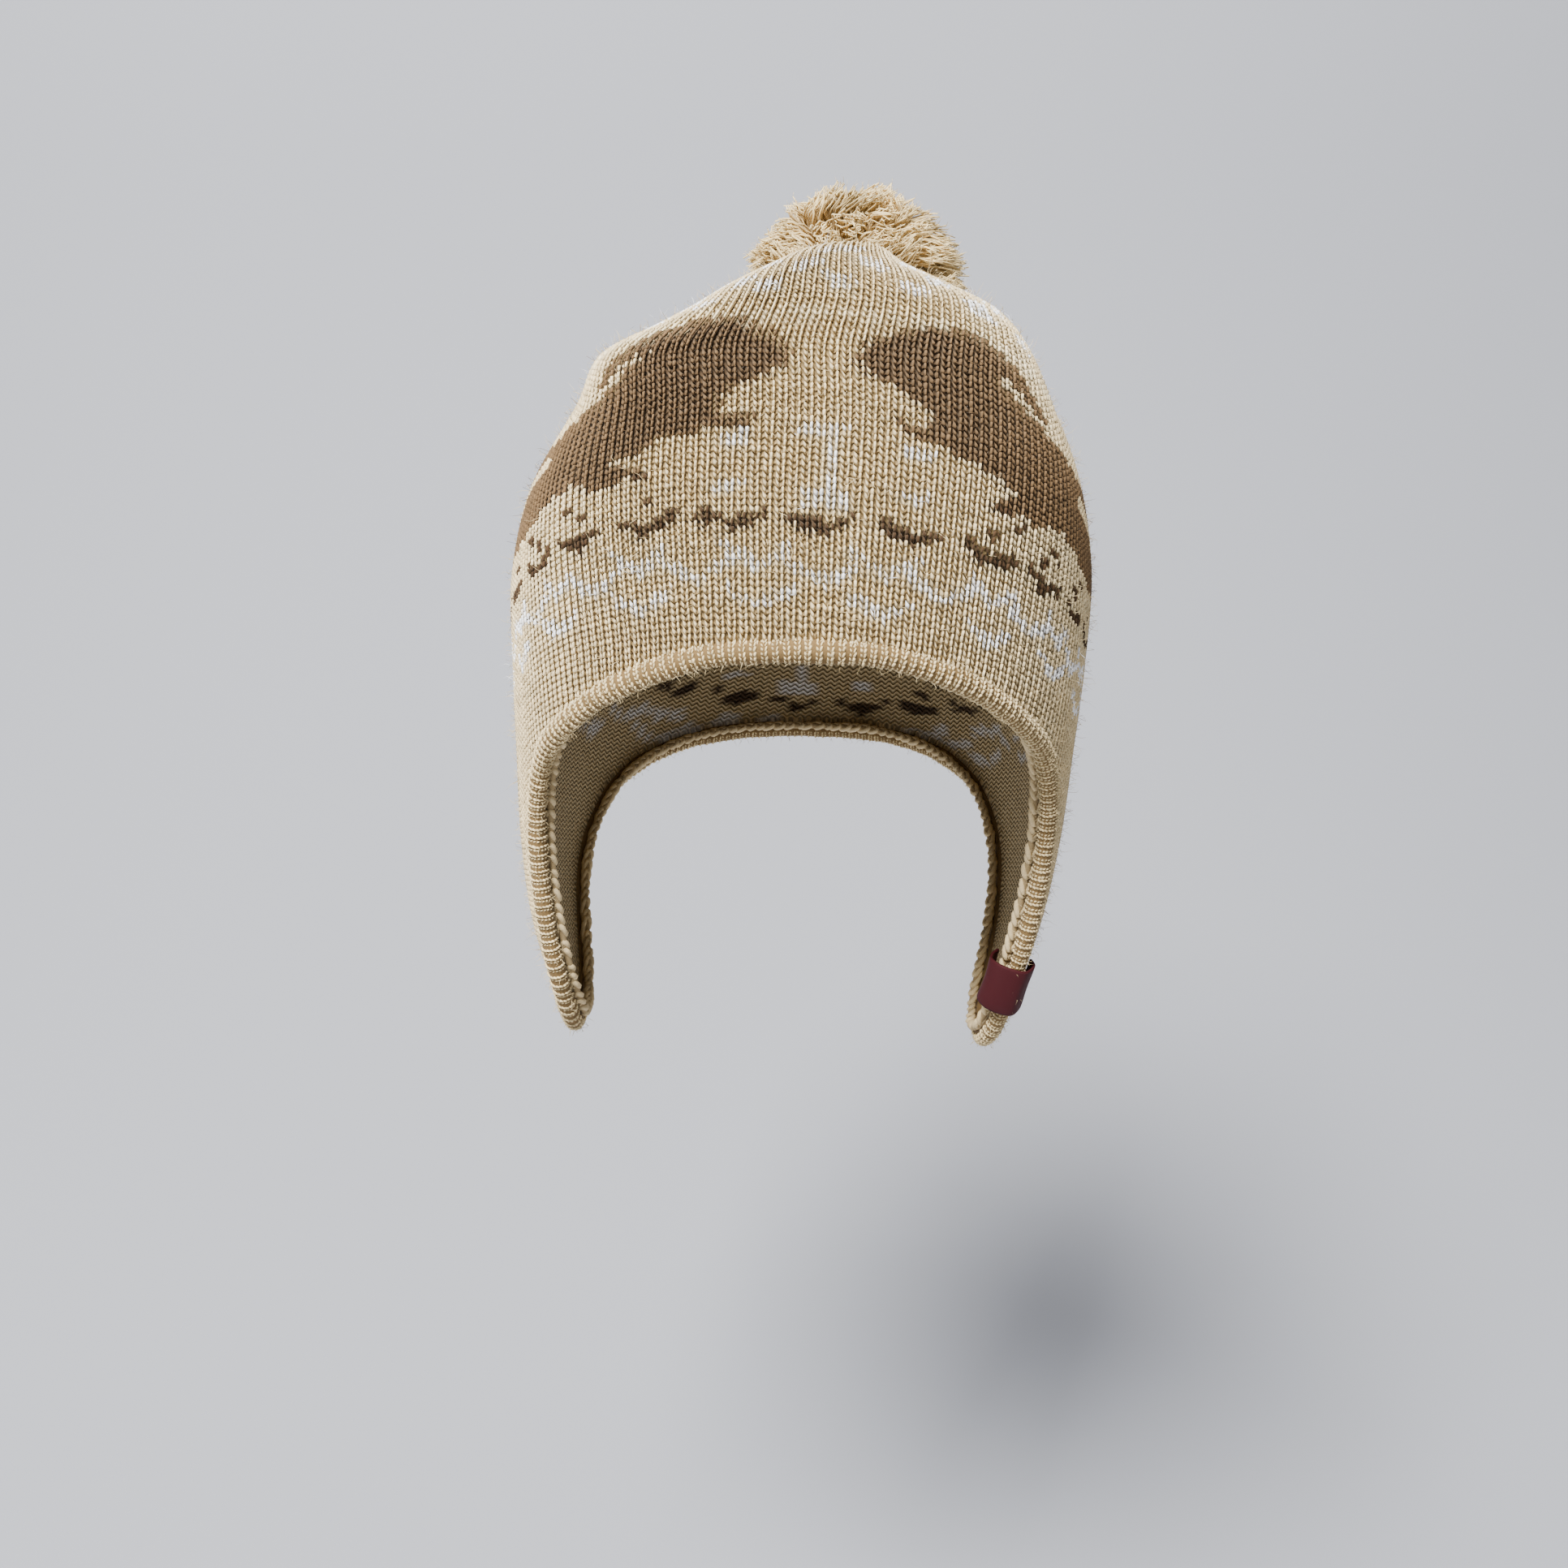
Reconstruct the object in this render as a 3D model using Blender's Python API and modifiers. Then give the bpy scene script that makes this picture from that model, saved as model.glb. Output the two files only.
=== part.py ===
"""An earflap beanie: a knit crown with two earflaps, a rolled band along its edge, the overlocked
seam inside the band, a bare woven label and a pompom. Metres, +Z up. The front faces -Y and the
wearer's left is at +X. The origin is where the top of the head touches the hat from inside."""

import math

import bmesh
import bpy
import numpy as np

# The crown. The drops are measured down from its highest point.
HEAD_TO_TOP = 0.0095
DOME_HEIGHT = 0.0840
SKIRT_LENGTH = 0.1565
HALF_WIDTH_LEFT = 0.0822
HALF_WIDTH_RIGHT = 0.0805
HALF_DEPTH_FRONT = 0.0990
HALF_DEPTH_BACK = 0.0955
KNIT_WALL = 0.0026
TIE_TILT_BACK = math.radians(17)
TIE_TILT_RIGHT = math.radians(7)
AXIS_RIGHT = 0.0040

# The four darts at the tie, with how far round the dome they start, fade and end.
DART_DEPTH = 0.0018
DART_WIDTH = 0.0045
DART_START = math.radians(14)
DART_FADE = math.radians(43)
DART_END = math.radians(72)

# The lower edge of the knit, without its band.
FRONT_HEM_DROP = 0.0915
BACK_HEM_DROP = 0.1485
LEFT_FLAP_DROP = 0.2145
RIGHT_FLAP_DROP = 0.2205
OPENING_TURN = math.radians(-1.5)

# The band, the seam and the label.
BAND_THICKNESS = 0.0060
BAND_HEIGHT = 0.0070
SEAM_DIAMETER = 0.0032
SEAM_RISE = 0.0010
LABEL_DROP = 0.1982
LABEL_LENGTH = 0.0135
LABEL_THICKNESS = 0.0007

# The pompom and its place behind the tie.
POMPOM_WIDTH = 0.0640
POMPOM_DEPTH = 0.0600
POMPOM_HEIGHT = 0.0580
POMPOM_CORE_SHARE = 0.76
POMPOM_BACK = 0.0280
POMPOM_RIGHT = 0.0040
POMPOM_UP = 0.0115
LOCK_COUNT = 64
LOCK_WIDTH = 0.0105
LOCK_UNEVEN = 0.06

# Pieces that touch keep this much air. The pompom's seat on the faceted crown keeps more.
GAP = 0.0003
SEAT_GAP = 0.0009

# How finely the surfaces are cut into facets.
COLUMNS = 88
DOME_ROWS = 9
SKIRT_ROWS = 7
BAND_SIDES = 10
SEAM_SIDES = 5
LABEL_ROWS = 6
LABEL_STEPS = 14
LOCK_SIDES = 5
SEAT_ROWS = 12
CURVE_STEPS = 900
HALVINGS = 36

# How far round the dome the pompom's seat is cut.
SEAT_LEAN = math.radians(72)

# The outline of the dome from its top down. Drop is a share of the dome's height. Left, right,
# front and back are how far the outline reaches, as shares of the half width or half depth on that
# side. Square is the exponent of the level section: 2 is an ellipse and more is boxier.
DOME_OUTLINE = (
    # drop, left, right, front, back, square
    (0.000, -0.134, 0.137, 0.424, -0.440, 2.0),
    (0.005, -0.050, 0.219, 0.545, -0.293, 2.0),
    (0.027, 0.030, 0.261, 0.636, -0.178, 2.2),
    (0.060, 0.110, 0.307, 0.692, -0.042, 2.4),
    (0.119, 0.243, 0.447, 0.747, 0.136, 2.7),
    (0.196, 0.389, 0.615, 0.793, 0.314, 2.9),
    (0.242, 0.487, 0.671, 0.818, 0.398, 2.9),
    (0.302, 0.627, 0.720, 0.848, 0.492, 2.9),
    (0.473, 0.742, 0.820, 0.899, 0.675, 2.7),
    (0.731, 0.912, 0.938, 0.960, 0.838, 2.4),
    (1.000, 0.996, 0.998, 0.993, 0.948, 2.2),
)

# The same below the dome, with the drop as a share of the skirt's length.
SKIRT_OUTLINE = (
    # drop, left, right, front, back, square
    (0.169, 1.010, 0.992, 1.000, 1.000, 2.2),
    (0.329, 1.010, 0.965, 0.990, 1.000, 2.2),
    (0.482, 1.008, 0.936, 0.960, 0.958, 2.2),
    (0.649, 0.978, 0.878, 0.909, 0.900, 2.2),
    (0.815, 0.884, 0.770, 0.848, 0.817, 2.2),
    (1.000, 0.710, 0.570, 0.778, 0.733, 2.2),
)

# The hem from the front centre to the bottom of a flap, and on from there to the back centre. Angle
# is in degrees from the front. Fall is the share of the way down from the hem to the flap's end.
FRONT_HEM = (
    # angle, fall
    (0.0, 0.000),
    (12.0, 0.012),
    (23.0, 0.060),
    (39.0, 0.175),
    (49.0, 0.275),
    (54.5, 0.390),
    (57.0, 0.550),
    (57.5, 0.720),
    (59.0, 0.870),
    (64.0, 0.965),
    (73.0, 1.000),
)
BACK_HEM = (
    # angle, fall
    (83.0, 0.990),
    (92.0, 0.940),
    (100.0, 0.830),
    (108.0, 0.640),
    (118.0, 0.400),
    (131.0, 0.190),
    (146.0, 0.070),
    (163.0, 0.010),
    (180.0, 0.000),
)

# The label's path round the band and the seam, from the outer side under the edge to the inner one.
# Out is a share of the label's half width and down of its half height, from the middle of both.
LABEL_PATH = (
    # out, down
    (0.72, -1.08),
    (0.98, -0.62),
    (1.00, 0.10),
    (0.78, 0.78),
    (0.20, 1.04),
    (-0.45, 1.02),
    (-0.90, 0.66),
    (-1.00, -0.02),
    (-0.88, -0.80),
)

# One lock of the pompom. Along is the share of the way from the pompom's middle to the lock's tip.
LOCK_RINGS = (
    # along, width
    (0.55, 0.60),
    (0.84, 1.00),
    (1.00, 0.46),
)


def smooth(knots, rows, places):
    """Read a smooth curve through the rows, one row at each knot, at the given places."""
    knots = np.asarray(knots, float)
    rows = np.asarray(rows, float)
    step = np.diff(knots)[:, None]
    slope = np.diff(rows, axis=0) / step
    inner = (slope[:-1] * step[1:] + slope[1:] * step[:-1]) / (step[:-1] + step[1:])
    tangent = np.vstack([slope[:1], inner, slope[-1:]])
    k = np.clip(np.searchsorted(knots, places, side="right") - 1, 0, len(knots) - 2)
    width = step[k]
    t = ((np.asarray(places) - knots[k]) / width[:, 0])[:, None]
    start = (2 * t**3 - 3 * t**2 + 1) * rows[k] + (t**3 - 2 * t**2 + t) * width * tangent[k]
    end = (3 * t**2 - 2 * t**3) * rows[k + 1] + (t**3 - t**2) * width * tangent[k + 1]
    return start + end


def lengths_along(points, closed=False):
    """How far each point lies along the line through them."""
    if closed:
        points = np.vstack([points, points[:1]])
    steps = np.linalg.norm(np.diff(points, axis=0), axis=1)
    return np.concatenate([[0.0], np.cumsum(steps)])


def unit(vectors):
    return vectors / np.linalg.norm(vectors, axis=-1, keepdims=True)


def outline_table():
    """The outline in metres, close together: drop, left, right, front, back and square."""
    dome = np.array(DOME_OUTLINE)
    skirt = np.array(SKIRT_OUTLINE)
    drops = np.concatenate([dome[:, 0] * DOME_HEIGHT, DOME_HEIGHT + skirt[:, 0] * SKIRT_LENGTH])
    sides = np.vstack([dome[:, 1:5], skirt[:, 1:5]])
    sides = sides * (HALF_WIDTH_LEFT, HALF_WIDTH_RIGHT, HALF_DEPTH_FRONT, HALF_DEPTH_BACK)
    square = np.concatenate([dome[:, 5], skirt[:, 5]])
    rows = np.column_stack([drops, sides, square])
    knots = lengths_along(np.column_stack([drops, sides.mean(axis=1)]))
    return smooth(knots, rows, np.linspace(0.0, knots[-1], CURVE_STEPS))


OUTLINE = outline_table()


def outside(points):
    """Above 0 outside the crown's surface, below 0 inside it."""
    drop = HEAD_TO_TOP - points[..., 2]
    left, right, front, back, square = (np.interp(drop, OUTLINE[:, 0], c) for c in OUTLINE.T[1:])
    half_x = np.maximum((right + left) / 2, 1e-6)
    half_y = np.maximum((back + front) / 2, 1e-6)
    across = np.abs(points[..., 0] - (right - left) / 2) / half_x
    along = np.abs(points[..., 1] - (back - front) / 2) / half_y
    inside = across**square + along**square - 1
    return np.where(drop < 0, 1.0 - drop, inside)


def reach(start, direction):
    """The points where rays from inside the crown meet its surface, found by halving."""
    near = np.zeros(np.broadcast(start, direction).shape[:-1])
    far = np.full_like(near, DOME_HEIGHT + HALF_DEPTH_FRONT + HALF_DEPTH_BACK)
    for _ in range(HALVINGS):
        middle = (near + far) / 2
        out = outside(start + direction * middle[..., None]) > 0
        far = np.where(out, middle, far)
        near = np.where(out, near, middle)
    return start + direction * near[..., None]


def outward(points):
    """The surface's outward normals at points on it."""
    small = 0.0002
    sides = [outside(points + axis) - outside(points - axis) for axis in np.eye(3) * small]
    return unit(np.stack(sides, axis=-1))


# The crown's axis runs from its core to the tie, where the darts meet and the pompom is sewn on.
CORE = np.array([AXIS_RIGHT, 0.0, HEAD_TO_TOP - DOME_HEIGHT])
AXIS = unit(np.array([math.tan(TIE_TILT_RIGHT), math.tan(TIE_TILT_BACK), 1.0]))
TO_FRONT = unit(np.array([0.0, -1.0, 0.0]) + AXIS[1] * AXIS)
TO_RIGHT = np.cross(AXIS, TO_FRONT)


def around(turn):
    """The directions square to the axis, at angles from the front."""
    turn = np.asarray(turn)[..., None]
    return np.cos(turn) * TO_FRONT + np.sin(turn) * TO_RIGHT


def dart_dip(turn, lean, radius):
    """How deep the four dart seams lie, at an angle round the axis and a lean away from it."""
    quarter = math.pi / 2
    aside = np.abs((turn % quarter) - quarter / 2) * radius * np.sin(lean)
    grows = np.clip(lean / DART_START, 0, 1)
    fades = np.clip((DART_END - lean) / (DART_END - DART_FADE), 0, 1)
    return DART_DEPTH * grows * fades * np.exp(-((aside / DART_WIDTH) ** 2))


def dome_points(turn, lean):
    """Points of the dome, by the angle round the axis and the lean away from it."""
    lean = np.asarray(lean)
    direction = np.cos(lean)[..., None] * AXIS + np.sin(lean)[..., None] * around(turn)
    points = reach(CORE, direction)
    radius = np.linalg.norm(points - CORE, axis=-1)
    return points - direction * dart_dip(turn, lean, radius)[..., None]


def skirt_points(turn, height):
    """Points below the dome, by the angle round the axis and the height along it."""
    return reach(CORE + np.asarray(height)[..., None] * AXIS, around(turn))


def half_hem(flap_drop):
    """Angle from the front and drop of one side's hem, from the front centre to the back centre."""
    front = np.array(FRONT_HEM)
    back = np.array(BACK_HEM)
    front[:, 1] = FRONT_HEM_DROP + front[:, 1] * (flap_drop - FRONT_HEM_DROP)
    back[:, 1] = BACK_HEM_DROP + back[:, 1] * (flap_drop - BACK_HEM_DROP)
    rows = np.vstack([front, back])
    rows[:, 0] = np.radians(rows[:, 0])
    knots = lengths_along(rows * (HALF_WIDTH_RIGHT, 1.0))
    return smooth(knots, rows, np.linspace(0.0, knots[-1], CURVE_STEPS))


def hem_curve():
    """The knit's lower edge on the outer surface: front centre, right flap, back, left flap."""
    right = half_hem(RIGHT_FLAP_DROP)
    left = half_hem(LEFT_FLAP_DROP)[-2:0:-1] * (-1, 1)
    rows = np.vstack([right, left]) + (OPENING_TURN, 0)
    zero = np.zeros(len(rows))
    start = np.column_stack([zero, zero, HEAD_TO_TOP - rows[:, 1]])
    return reach(start, np.column_stack([np.sin(rows[:, 0]), -np.cos(rows[:, 0]), zero]))


def hem_stations():
    """Evenly spaced points along the hem, one for each column of the crown."""
    curve = hem_curve()
    along = lengths_along(curve, closed=True)
    closed = np.vstack([curve, curve[:1]])
    places = np.arange(COLUMNS) * along[-1] / COLUMNS
    return np.column_stack([np.interp(places, along, closed[:, i]) for i in range(3)])


def hem_frames(stations):
    """The outward normal and the way out of the cloth at each hem station."""
    ahead = unit(np.roll(stations, -1, axis=0) - np.roll(stations, 1, axis=0))
    normal = outward(stations)
    normal = unit(normal - (normal * ahead).sum(axis=1)[:, None] * ahead)
    return normal, np.cross(ahead, normal)


def add_object(name, mesh, material, collection):
    piece = bpy.data.objects.new(name, mesh)
    mesh.materials.append(material)
    collection.objects.link(piece)
    mesh.shade_smooth()
    return piece


def mesh_from(name, points, faces):
    mesh = bpy.data.meshes.new(name)
    mesh.from_pydata([tuple(p) for p in points], [], faces)
    body = bmesh.new()
    body.from_mesh(mesh)
    bmesh.ops.recalc_face_normals(body, faces=body.faces)
    body.to_mesh(mesh)
    body.free()
    return mesh


def loft_faces(rows, columns, first=0):
    """Four-sided faces between closed rings that follow each other."""
    faces = []
    for row in range(rows - 1):
        for column in range(columns):
            a = first + row * columns + column
            b = first + row * columns + (column + 1) % columns
            faces.append((a, b, b + columns, a + columns))
    return faces


def knit_material(name, colour, roughness=0.9):
    material = bpy.data.materials.new(name)
    material.use_nodes = True
    shader = material.node_tree.nodes["Principled BSDF"]
    shader.inputs["Base Color"].default_value = (*colour, 1.0)
    shader.inputs["Roughness"].default_value = roughness
    shader.inputs["Metallic"].default_value = 0.0
    return material


def make_crown(collection):
    """The knit shell: an open surface from the tie to the hem, given its wall by Solidify."""
    turns = np.arange(COLUMNS) * 2 * math.pi / COLUMNS
    leans = (np.arange(DOME_ROWS) + 1) * (math.pi / 2) / DOME_ROWS
    tie = dome_points(np.zeros(1), np.zeros(1))
    rings = [dome_points(turns, np.full(COLUMNS, lean)) for lean in leans]
    hem = hem_stations()
    hem_height = (hem - CORE) @ AXIS
    hem_turn = np.unwrap(np.arctan2((hem - CORE) @ TO_RIGHT, (hem - CORE) @ TO_FRONT))
    for row in range(1, SKIRT_ROWS):
        share = row / SKIRT_ROWS
        turn = turns + (hem_turn - turns) * share
        rings.append(skirt_points(turn, hem_height * share))
    rings.append(hem)
    points = np.vstack([tie] + rings)
    faces = [(0, 1 + (c + 1) % COLUMNS, 1 + c) for c in range(COLUMNS)]
    faces += loft_faces(len(rings), COLUMNS, first=1)
    mesh = mesh_from("crown", points, faces)
    crown = add_object("crown", mesh, knit_material("beige_knit", (0.58, 0.46, 0.29)), collection)
    wall = crown.modifiers.new("knit wall", "SOLIDIFY")
    wall.thickness = KNIT_WALL
    wall.offset = -1.0
    wall.use_even_offset = True
    return crown


def oval(sides, half_out, half_down):
    """The points of a rounded section: out of the cloth's face, and down past its edge."""
    turn = (np.arange(sides) + 0.5) * 2 * math.pi / sides
    return np.column_stack([np.sin(turn) * half_out, np.cos(turn) * half_down])


def band_centres(stations, normal, down):
    return stations - normal * KNIT_WALL / 2 + down * (GAP + BAND_HEIGHT / 2)


def sweep(name, centres, normal, down, section):
    """A closed roll: the section carried round the hem."""
    sides = len(section)
    rings = centres[:, None] + section[None, :, :1] * normal[:, None] + section[None, :, 1:] * down[:, None]
    count = len(centres)
    faces = []
    for station in range(count):
        for side in range(sides):
            a = station * sides + side
            b = station * sides + (side + 1) % sides
            c = ((station + 1) % count) * sides + (side + 1) % sides
            d = ((station + 1) % count) * sides + side
            faces.append((a, b, c, d))
    return mesh_from(name, rings.reshape(-1, 3), faces)


def make_band(collection):
    """The rolled band that closes the knit's edge, just below it."""
    stations = hem_stations()
    normal, down = hem_frames(stations)
    centres = band_centres(stations, normal, down)
    section = oval(BAND_SIDES, BAND_THICKNESS / 2, BAND_HEIGHT / 2)
    mesh = sweep("edge_binding", centres, normal, down, section)
    return add_object("edge_binding", mesh, knit_material("band_knit", (0.55, 0.42, 0.25)), collection)


def seam_offset():
    """How far inside the band's middle the seam's middle lies."""
    return BAND_THICKNESS / 2 + GAP + SEAM_DIAMETER / 2


def make_seam(collection):
    """The overlocked seam, a thin roll against the inner side of the band."""
    stations = hem_stations()
    normal, down = hem_frames(stations)
    centres = band_centres(stations, normal, down) - normal * seam_offset() - down * SEAM_RISE
    section = oval(SEAM_SIDES, SEAM_DIAMETER / 2, SEAM_DIAMETER / 2)
    mesh = sweep("seam_roll", centres, normal, down, section)
    return add_object("seam_roll", mesh, knit_material("seam_yarn", (0.60, 0.49, 0.32)), collection)


def frames_between(places, stations, normal, down):
    """The hem's places and directions at places given in stations, such as 20.5."""
    low = np.floor(places).astype(int)
    share = (places - low)[:, None]
    after = (low + 1) % len(stations)
    mixed = [rows[low] * (1 - share) + rows[after] * share for rows in (stations, normal, down)]
    return mixed[0], unit(mixed[1]), unit(mixed[2])


def make_label(collection):
    """The woven label, folded over the band on the front edge of the right flap."""
    stations = hem_stations()
    normal, down = hem_frames(stations)
    lowest = np.argmin(stations[: COLUMNS // 2, 2])
    drops = HEAD_TO_TOP - stations[: lowest + 1, 2]
    middle = np.interp(LABEL_DROP, drops, np.arange(lowest + 1))
    spacing = np.linalg.norm(stations[1] - stations[0])
    each_way = LABEL_LENGTH / 2 / spacing
    places = middle + np.linspace(-each_way, each_way, LABEL_ROWS + 1)
    centre, out, fall = frames_between(places, stations, normal, down)
    centre = band_centres(centre, out, fall) - out * (GAP + SEAM_DIAMETER) / 2
    air = GAP + LABEL_THICKNESS
    half_out = (BAND_THICKNESS + GAP + SEAM_DIAMETER) / 2 + air
    half_down = BAND_HEIGHT / 2 + air
    path = np.array(LABEL_PATH)
    knots = lengths_along(path)
    path = smooth(knots, path, np.linspace(0, knots[-1], LABEL_STEPS + 1)) * (half_out, half_down)
    points = centre[:, None] + path[None, :, :1] * out[:, None] + path[None, :, 1:] * fall[:, None]
    width = len(path)
    faces = []
    for row in range(len(places) - 1):
        for column in range(width - 1):
            a = row * width + column
            faces.append((a, a + 1, a + 1 + width, a + width))
    mesh = mesh_from("label", points.reshape(-1, 3), faces)
    label = add_object("label", mesh, knit_material("red_weave", (0.11, 0.006, 0.012), 0.7), collection)
    wall = label.modifiers.new("tape", "SOLIDIFY")
    wall.thickness = LABEL_THICKNESS
    wall.offset = 0.0
    wall.use_even_offset = True
    return label


def pompom_centre():
    tie = dome_points(np.zeros(1), np.zeros(1))[0]
    return tie + (POMPOM_RIGHT, POMPOM_BACK, POMPOM_UP)


def spread(count):
    """Directions spread evenly over a ball, from its top down along a spiral."""
    index = np.arange(count) + 0.5
    height = 1 - 2 * index / count
    turn = index * math.pi * (3 - math.sqrt(5))
    ring = np.sqrt(1 - height**2)
    return np.column_stack([ring * np.cos(turn), ring * np.sin(turn), height])


def add_lock(body, direction, half_sizes, length):
    """One lock of yarn ends: a blunt tapered tuft that stands on the pompom's core."""
    level = unit(np.array([-direction[1], direction[0], 0.0]))
    steep = np.cross(direction, level)
    rings = []
    for along, width in LOCK_RINGS:
        ring = []
        for step in range(LOCK_SIDES):
            turn = step * 2 * math.pi / LOCK_SIDES
            aside = (math.cos(turn) * level + math.sin(turn) * steep) * width * LOCK_WIDTH / 2
            ring.append(body.verts.new(half_sizes * direction * along * length + aside))
        rings.append(ring)
    body.faces.new(rings[0][::-1])
    body.faces.new(rings[-1])
    for lower, upper in zip(rings, rings[1:]):
        for step in range(LOCK_SIDES):
            after = (step + 1) % LOCK_SIDES
            body.faces.new((lower[step], lower[after], upper[after], upper[step]))


def crown_cutter(collection):
    """The room that the top of the crown needs under the pompom, with the gap added."""
    turns = np.arange(COLUMNS // 2) * 4 * math.pi / COLUMNS
    leans = (np.arange(SEAT_ROWS) + 1) * SEAT_LEAN / SEAT_ROWS
    tie = dome_points(np.zeros(1), np.zeros(1))
    rings = [dome_points(turns, np.full(len(turns), lean)) for lean in leans]
    shell = np.vstack([tie] + rings)
    shell = shell + unit(shell - CORE) * SEAT_GAP
    points = np.vstack([shell, CORE])
    count = len(turns)
    faces = [(0, 1 + (c + 1) % count, 1 + c) for c in range(count)]
    faces += loft_faces(len(rings), count, first=1)
    last = 1 + (len(rings) - 1) * count
    faces += [(last + c, last + (c + 1) % count, len(points) - 1) for c in range(count)]
    mesh = mesh_from("crown_room", points, faces)
    cutter = bpy.data.objects.new("crown_room", mesh)
    cutter.hide_render = True
    cutter.display_type = "WIRE"
    collection.objects.link(cutter)
    return cutter


def make_pompom(collection, cutters):
    """The pompom: locks of yarn ends on a core, sat on the crown just behind the tie."""
    half_sizes = np.array([POMPOM_WIDTH, POMPOM_DEPTH, POMPOM_HEIGHT]) / 2
    core = bmesh.new()
    bmesh.ops.create_icosphere(core, subdivisions=2, radius=1.0)
    for vertex in core.verts:
        vertex.co = half_sizes * np.array(vertex.co) * POMPOM_CORE_SHARE
    core_mesh = bpy.data.meshes.new("pompom")
    core.to_mesh(core_mesh)
    core.free()
    locks = bmesh.new()
    for index, direction in enumerate(spread(LOCK_COUNT)):
        add_lock(locks, direction, half_sizes, 1 + LOCK_UNEVEN * math.sin(index * index))
    bmesh.ops.recalc_face_normals(locks, faces=locks.faces)
    locks_mesh = bpy.data.meshes.new("pompom_locks")
    locks.to_mesh(locks_mesh)
    locks.free()
    centre = pompom_centre()
    pompom = add_object("pompom", core_mesh, knit_material("pompom_yarn", (0.52, 0.38, 0.20)), collection)
    tufts = bpy.data.objects.new("pompom_locks", locks_mesh)
    tufts.hide_render = True
    tufts.display_type = "WIRE"
    cutters.objects.link(tufts)
    for piece in (pompom, tufts):
        piece.location = centre
    join = pompom.modifiers.new("locks", "BOOLEAN")
    join.operation = "UNION"
    join.solver = "EXACT"
    join.use_self = True
    join.object = tufts
    cut = pompom.modifiers.new("seat on the crown", "BOOLEAN")
    cut.operation = "DIFFERENCE"
    cut.solver = "EXACT"
    cut.object = crown_cutter(cutters)
    return pompom


def main():
    for old in list(bpy.data.objects):
        bpy.data.objects.remove(old, do_unlink=True)
    hat = bpy.data.collections.new("earflap_beanie")
    cutters = bpy.data.collections.new("cutters")
    for collection in (hat, cutters):
        bpy.context.scene.collection.children.link(collection)
    make_crown(hat)
    make_band(hat)
    make_seam(hat)
    make_label(hat)
    make_pompom(hat, cutters)


main()
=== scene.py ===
"""How the earflap beanie looks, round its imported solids. Metres, +Z up, the front faces -Y."""

import math

import bpy
import numpy as np
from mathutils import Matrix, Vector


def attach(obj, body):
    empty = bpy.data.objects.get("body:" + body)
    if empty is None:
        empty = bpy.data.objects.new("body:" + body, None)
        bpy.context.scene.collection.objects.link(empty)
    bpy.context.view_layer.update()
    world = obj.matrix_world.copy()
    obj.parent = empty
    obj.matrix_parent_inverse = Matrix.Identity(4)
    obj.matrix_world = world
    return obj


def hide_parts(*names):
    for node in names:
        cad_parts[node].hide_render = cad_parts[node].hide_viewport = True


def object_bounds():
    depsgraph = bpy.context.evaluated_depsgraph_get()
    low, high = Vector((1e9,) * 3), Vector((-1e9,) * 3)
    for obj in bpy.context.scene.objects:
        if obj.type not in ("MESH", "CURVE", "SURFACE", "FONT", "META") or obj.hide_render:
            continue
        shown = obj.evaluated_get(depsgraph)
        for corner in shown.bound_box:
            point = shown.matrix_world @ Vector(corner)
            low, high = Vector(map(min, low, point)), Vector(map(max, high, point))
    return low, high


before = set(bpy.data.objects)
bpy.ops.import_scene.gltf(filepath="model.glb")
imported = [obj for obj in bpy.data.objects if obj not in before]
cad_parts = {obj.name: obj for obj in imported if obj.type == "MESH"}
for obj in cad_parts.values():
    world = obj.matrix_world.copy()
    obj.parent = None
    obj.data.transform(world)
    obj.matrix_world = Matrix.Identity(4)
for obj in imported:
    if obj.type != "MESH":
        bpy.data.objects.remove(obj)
cad_low, cad_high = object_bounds()

# The camera stands in front of the hat, a little above its middle, and looks slightly down.
CAMERA_PLACE = (-0.0057, -0.463, -0.031)
CAMERA_PITCH = math.radians(13.4)

bpy.ops.object.camera_add(location=CAMERA_PLACE, rotation=(math.radians(90) - CAMERA_PITCH, 0, 0))
camera = bpy.context.object
camera.name = "camera"
camera.data.sensor_width = 36.0
camera.data.lens = 36.15
camera.data.clip_start = 0.01
bpy.context.scene.camera = camera

# The crown's cloth: a knitted tube of wool and acrylic with both earflaps in one piece, closed at
# the top by four darts. This part of the script holds its shape: the outline from the top down, the
# lower edge, and the grid of courses and wales that every stitch is placed by.
HEAD_TO_TOP = 0.0095
DOME_HEIGHT = 0.0840
SKIRT_LENGTH = 0.1565
HALF_WIDTH_LEFT = 0.0822
HALF_WIDTH_RIGHT = 0.0805
HALF_DEPTH_FRONT = 0.0990
HALF_DEPTH_BACK = 0.0955
KNIT_WALL = 0.0026
TIE_TILT_BACK = math.radians(17)
TIE_TILT_RIGHT = math.radians(7)
AXIS_RIGHT = 0.0040
DART_DEPTH = 0.0018
DART_WIDTH = 0.0045
DART_START = math.radians(14)
DART_FADE = math.radians(43)
DART_END = math.radians(72)
FRONT_HEM_DROP = 0.0915
BACK_HEM_DROP = 0.1485
LEFT_FLAP_DROP = 0.2145
RIGHT_FLAP_DROP = 0.2205
OPENING_TURN = math.radians(-1.5)

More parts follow.
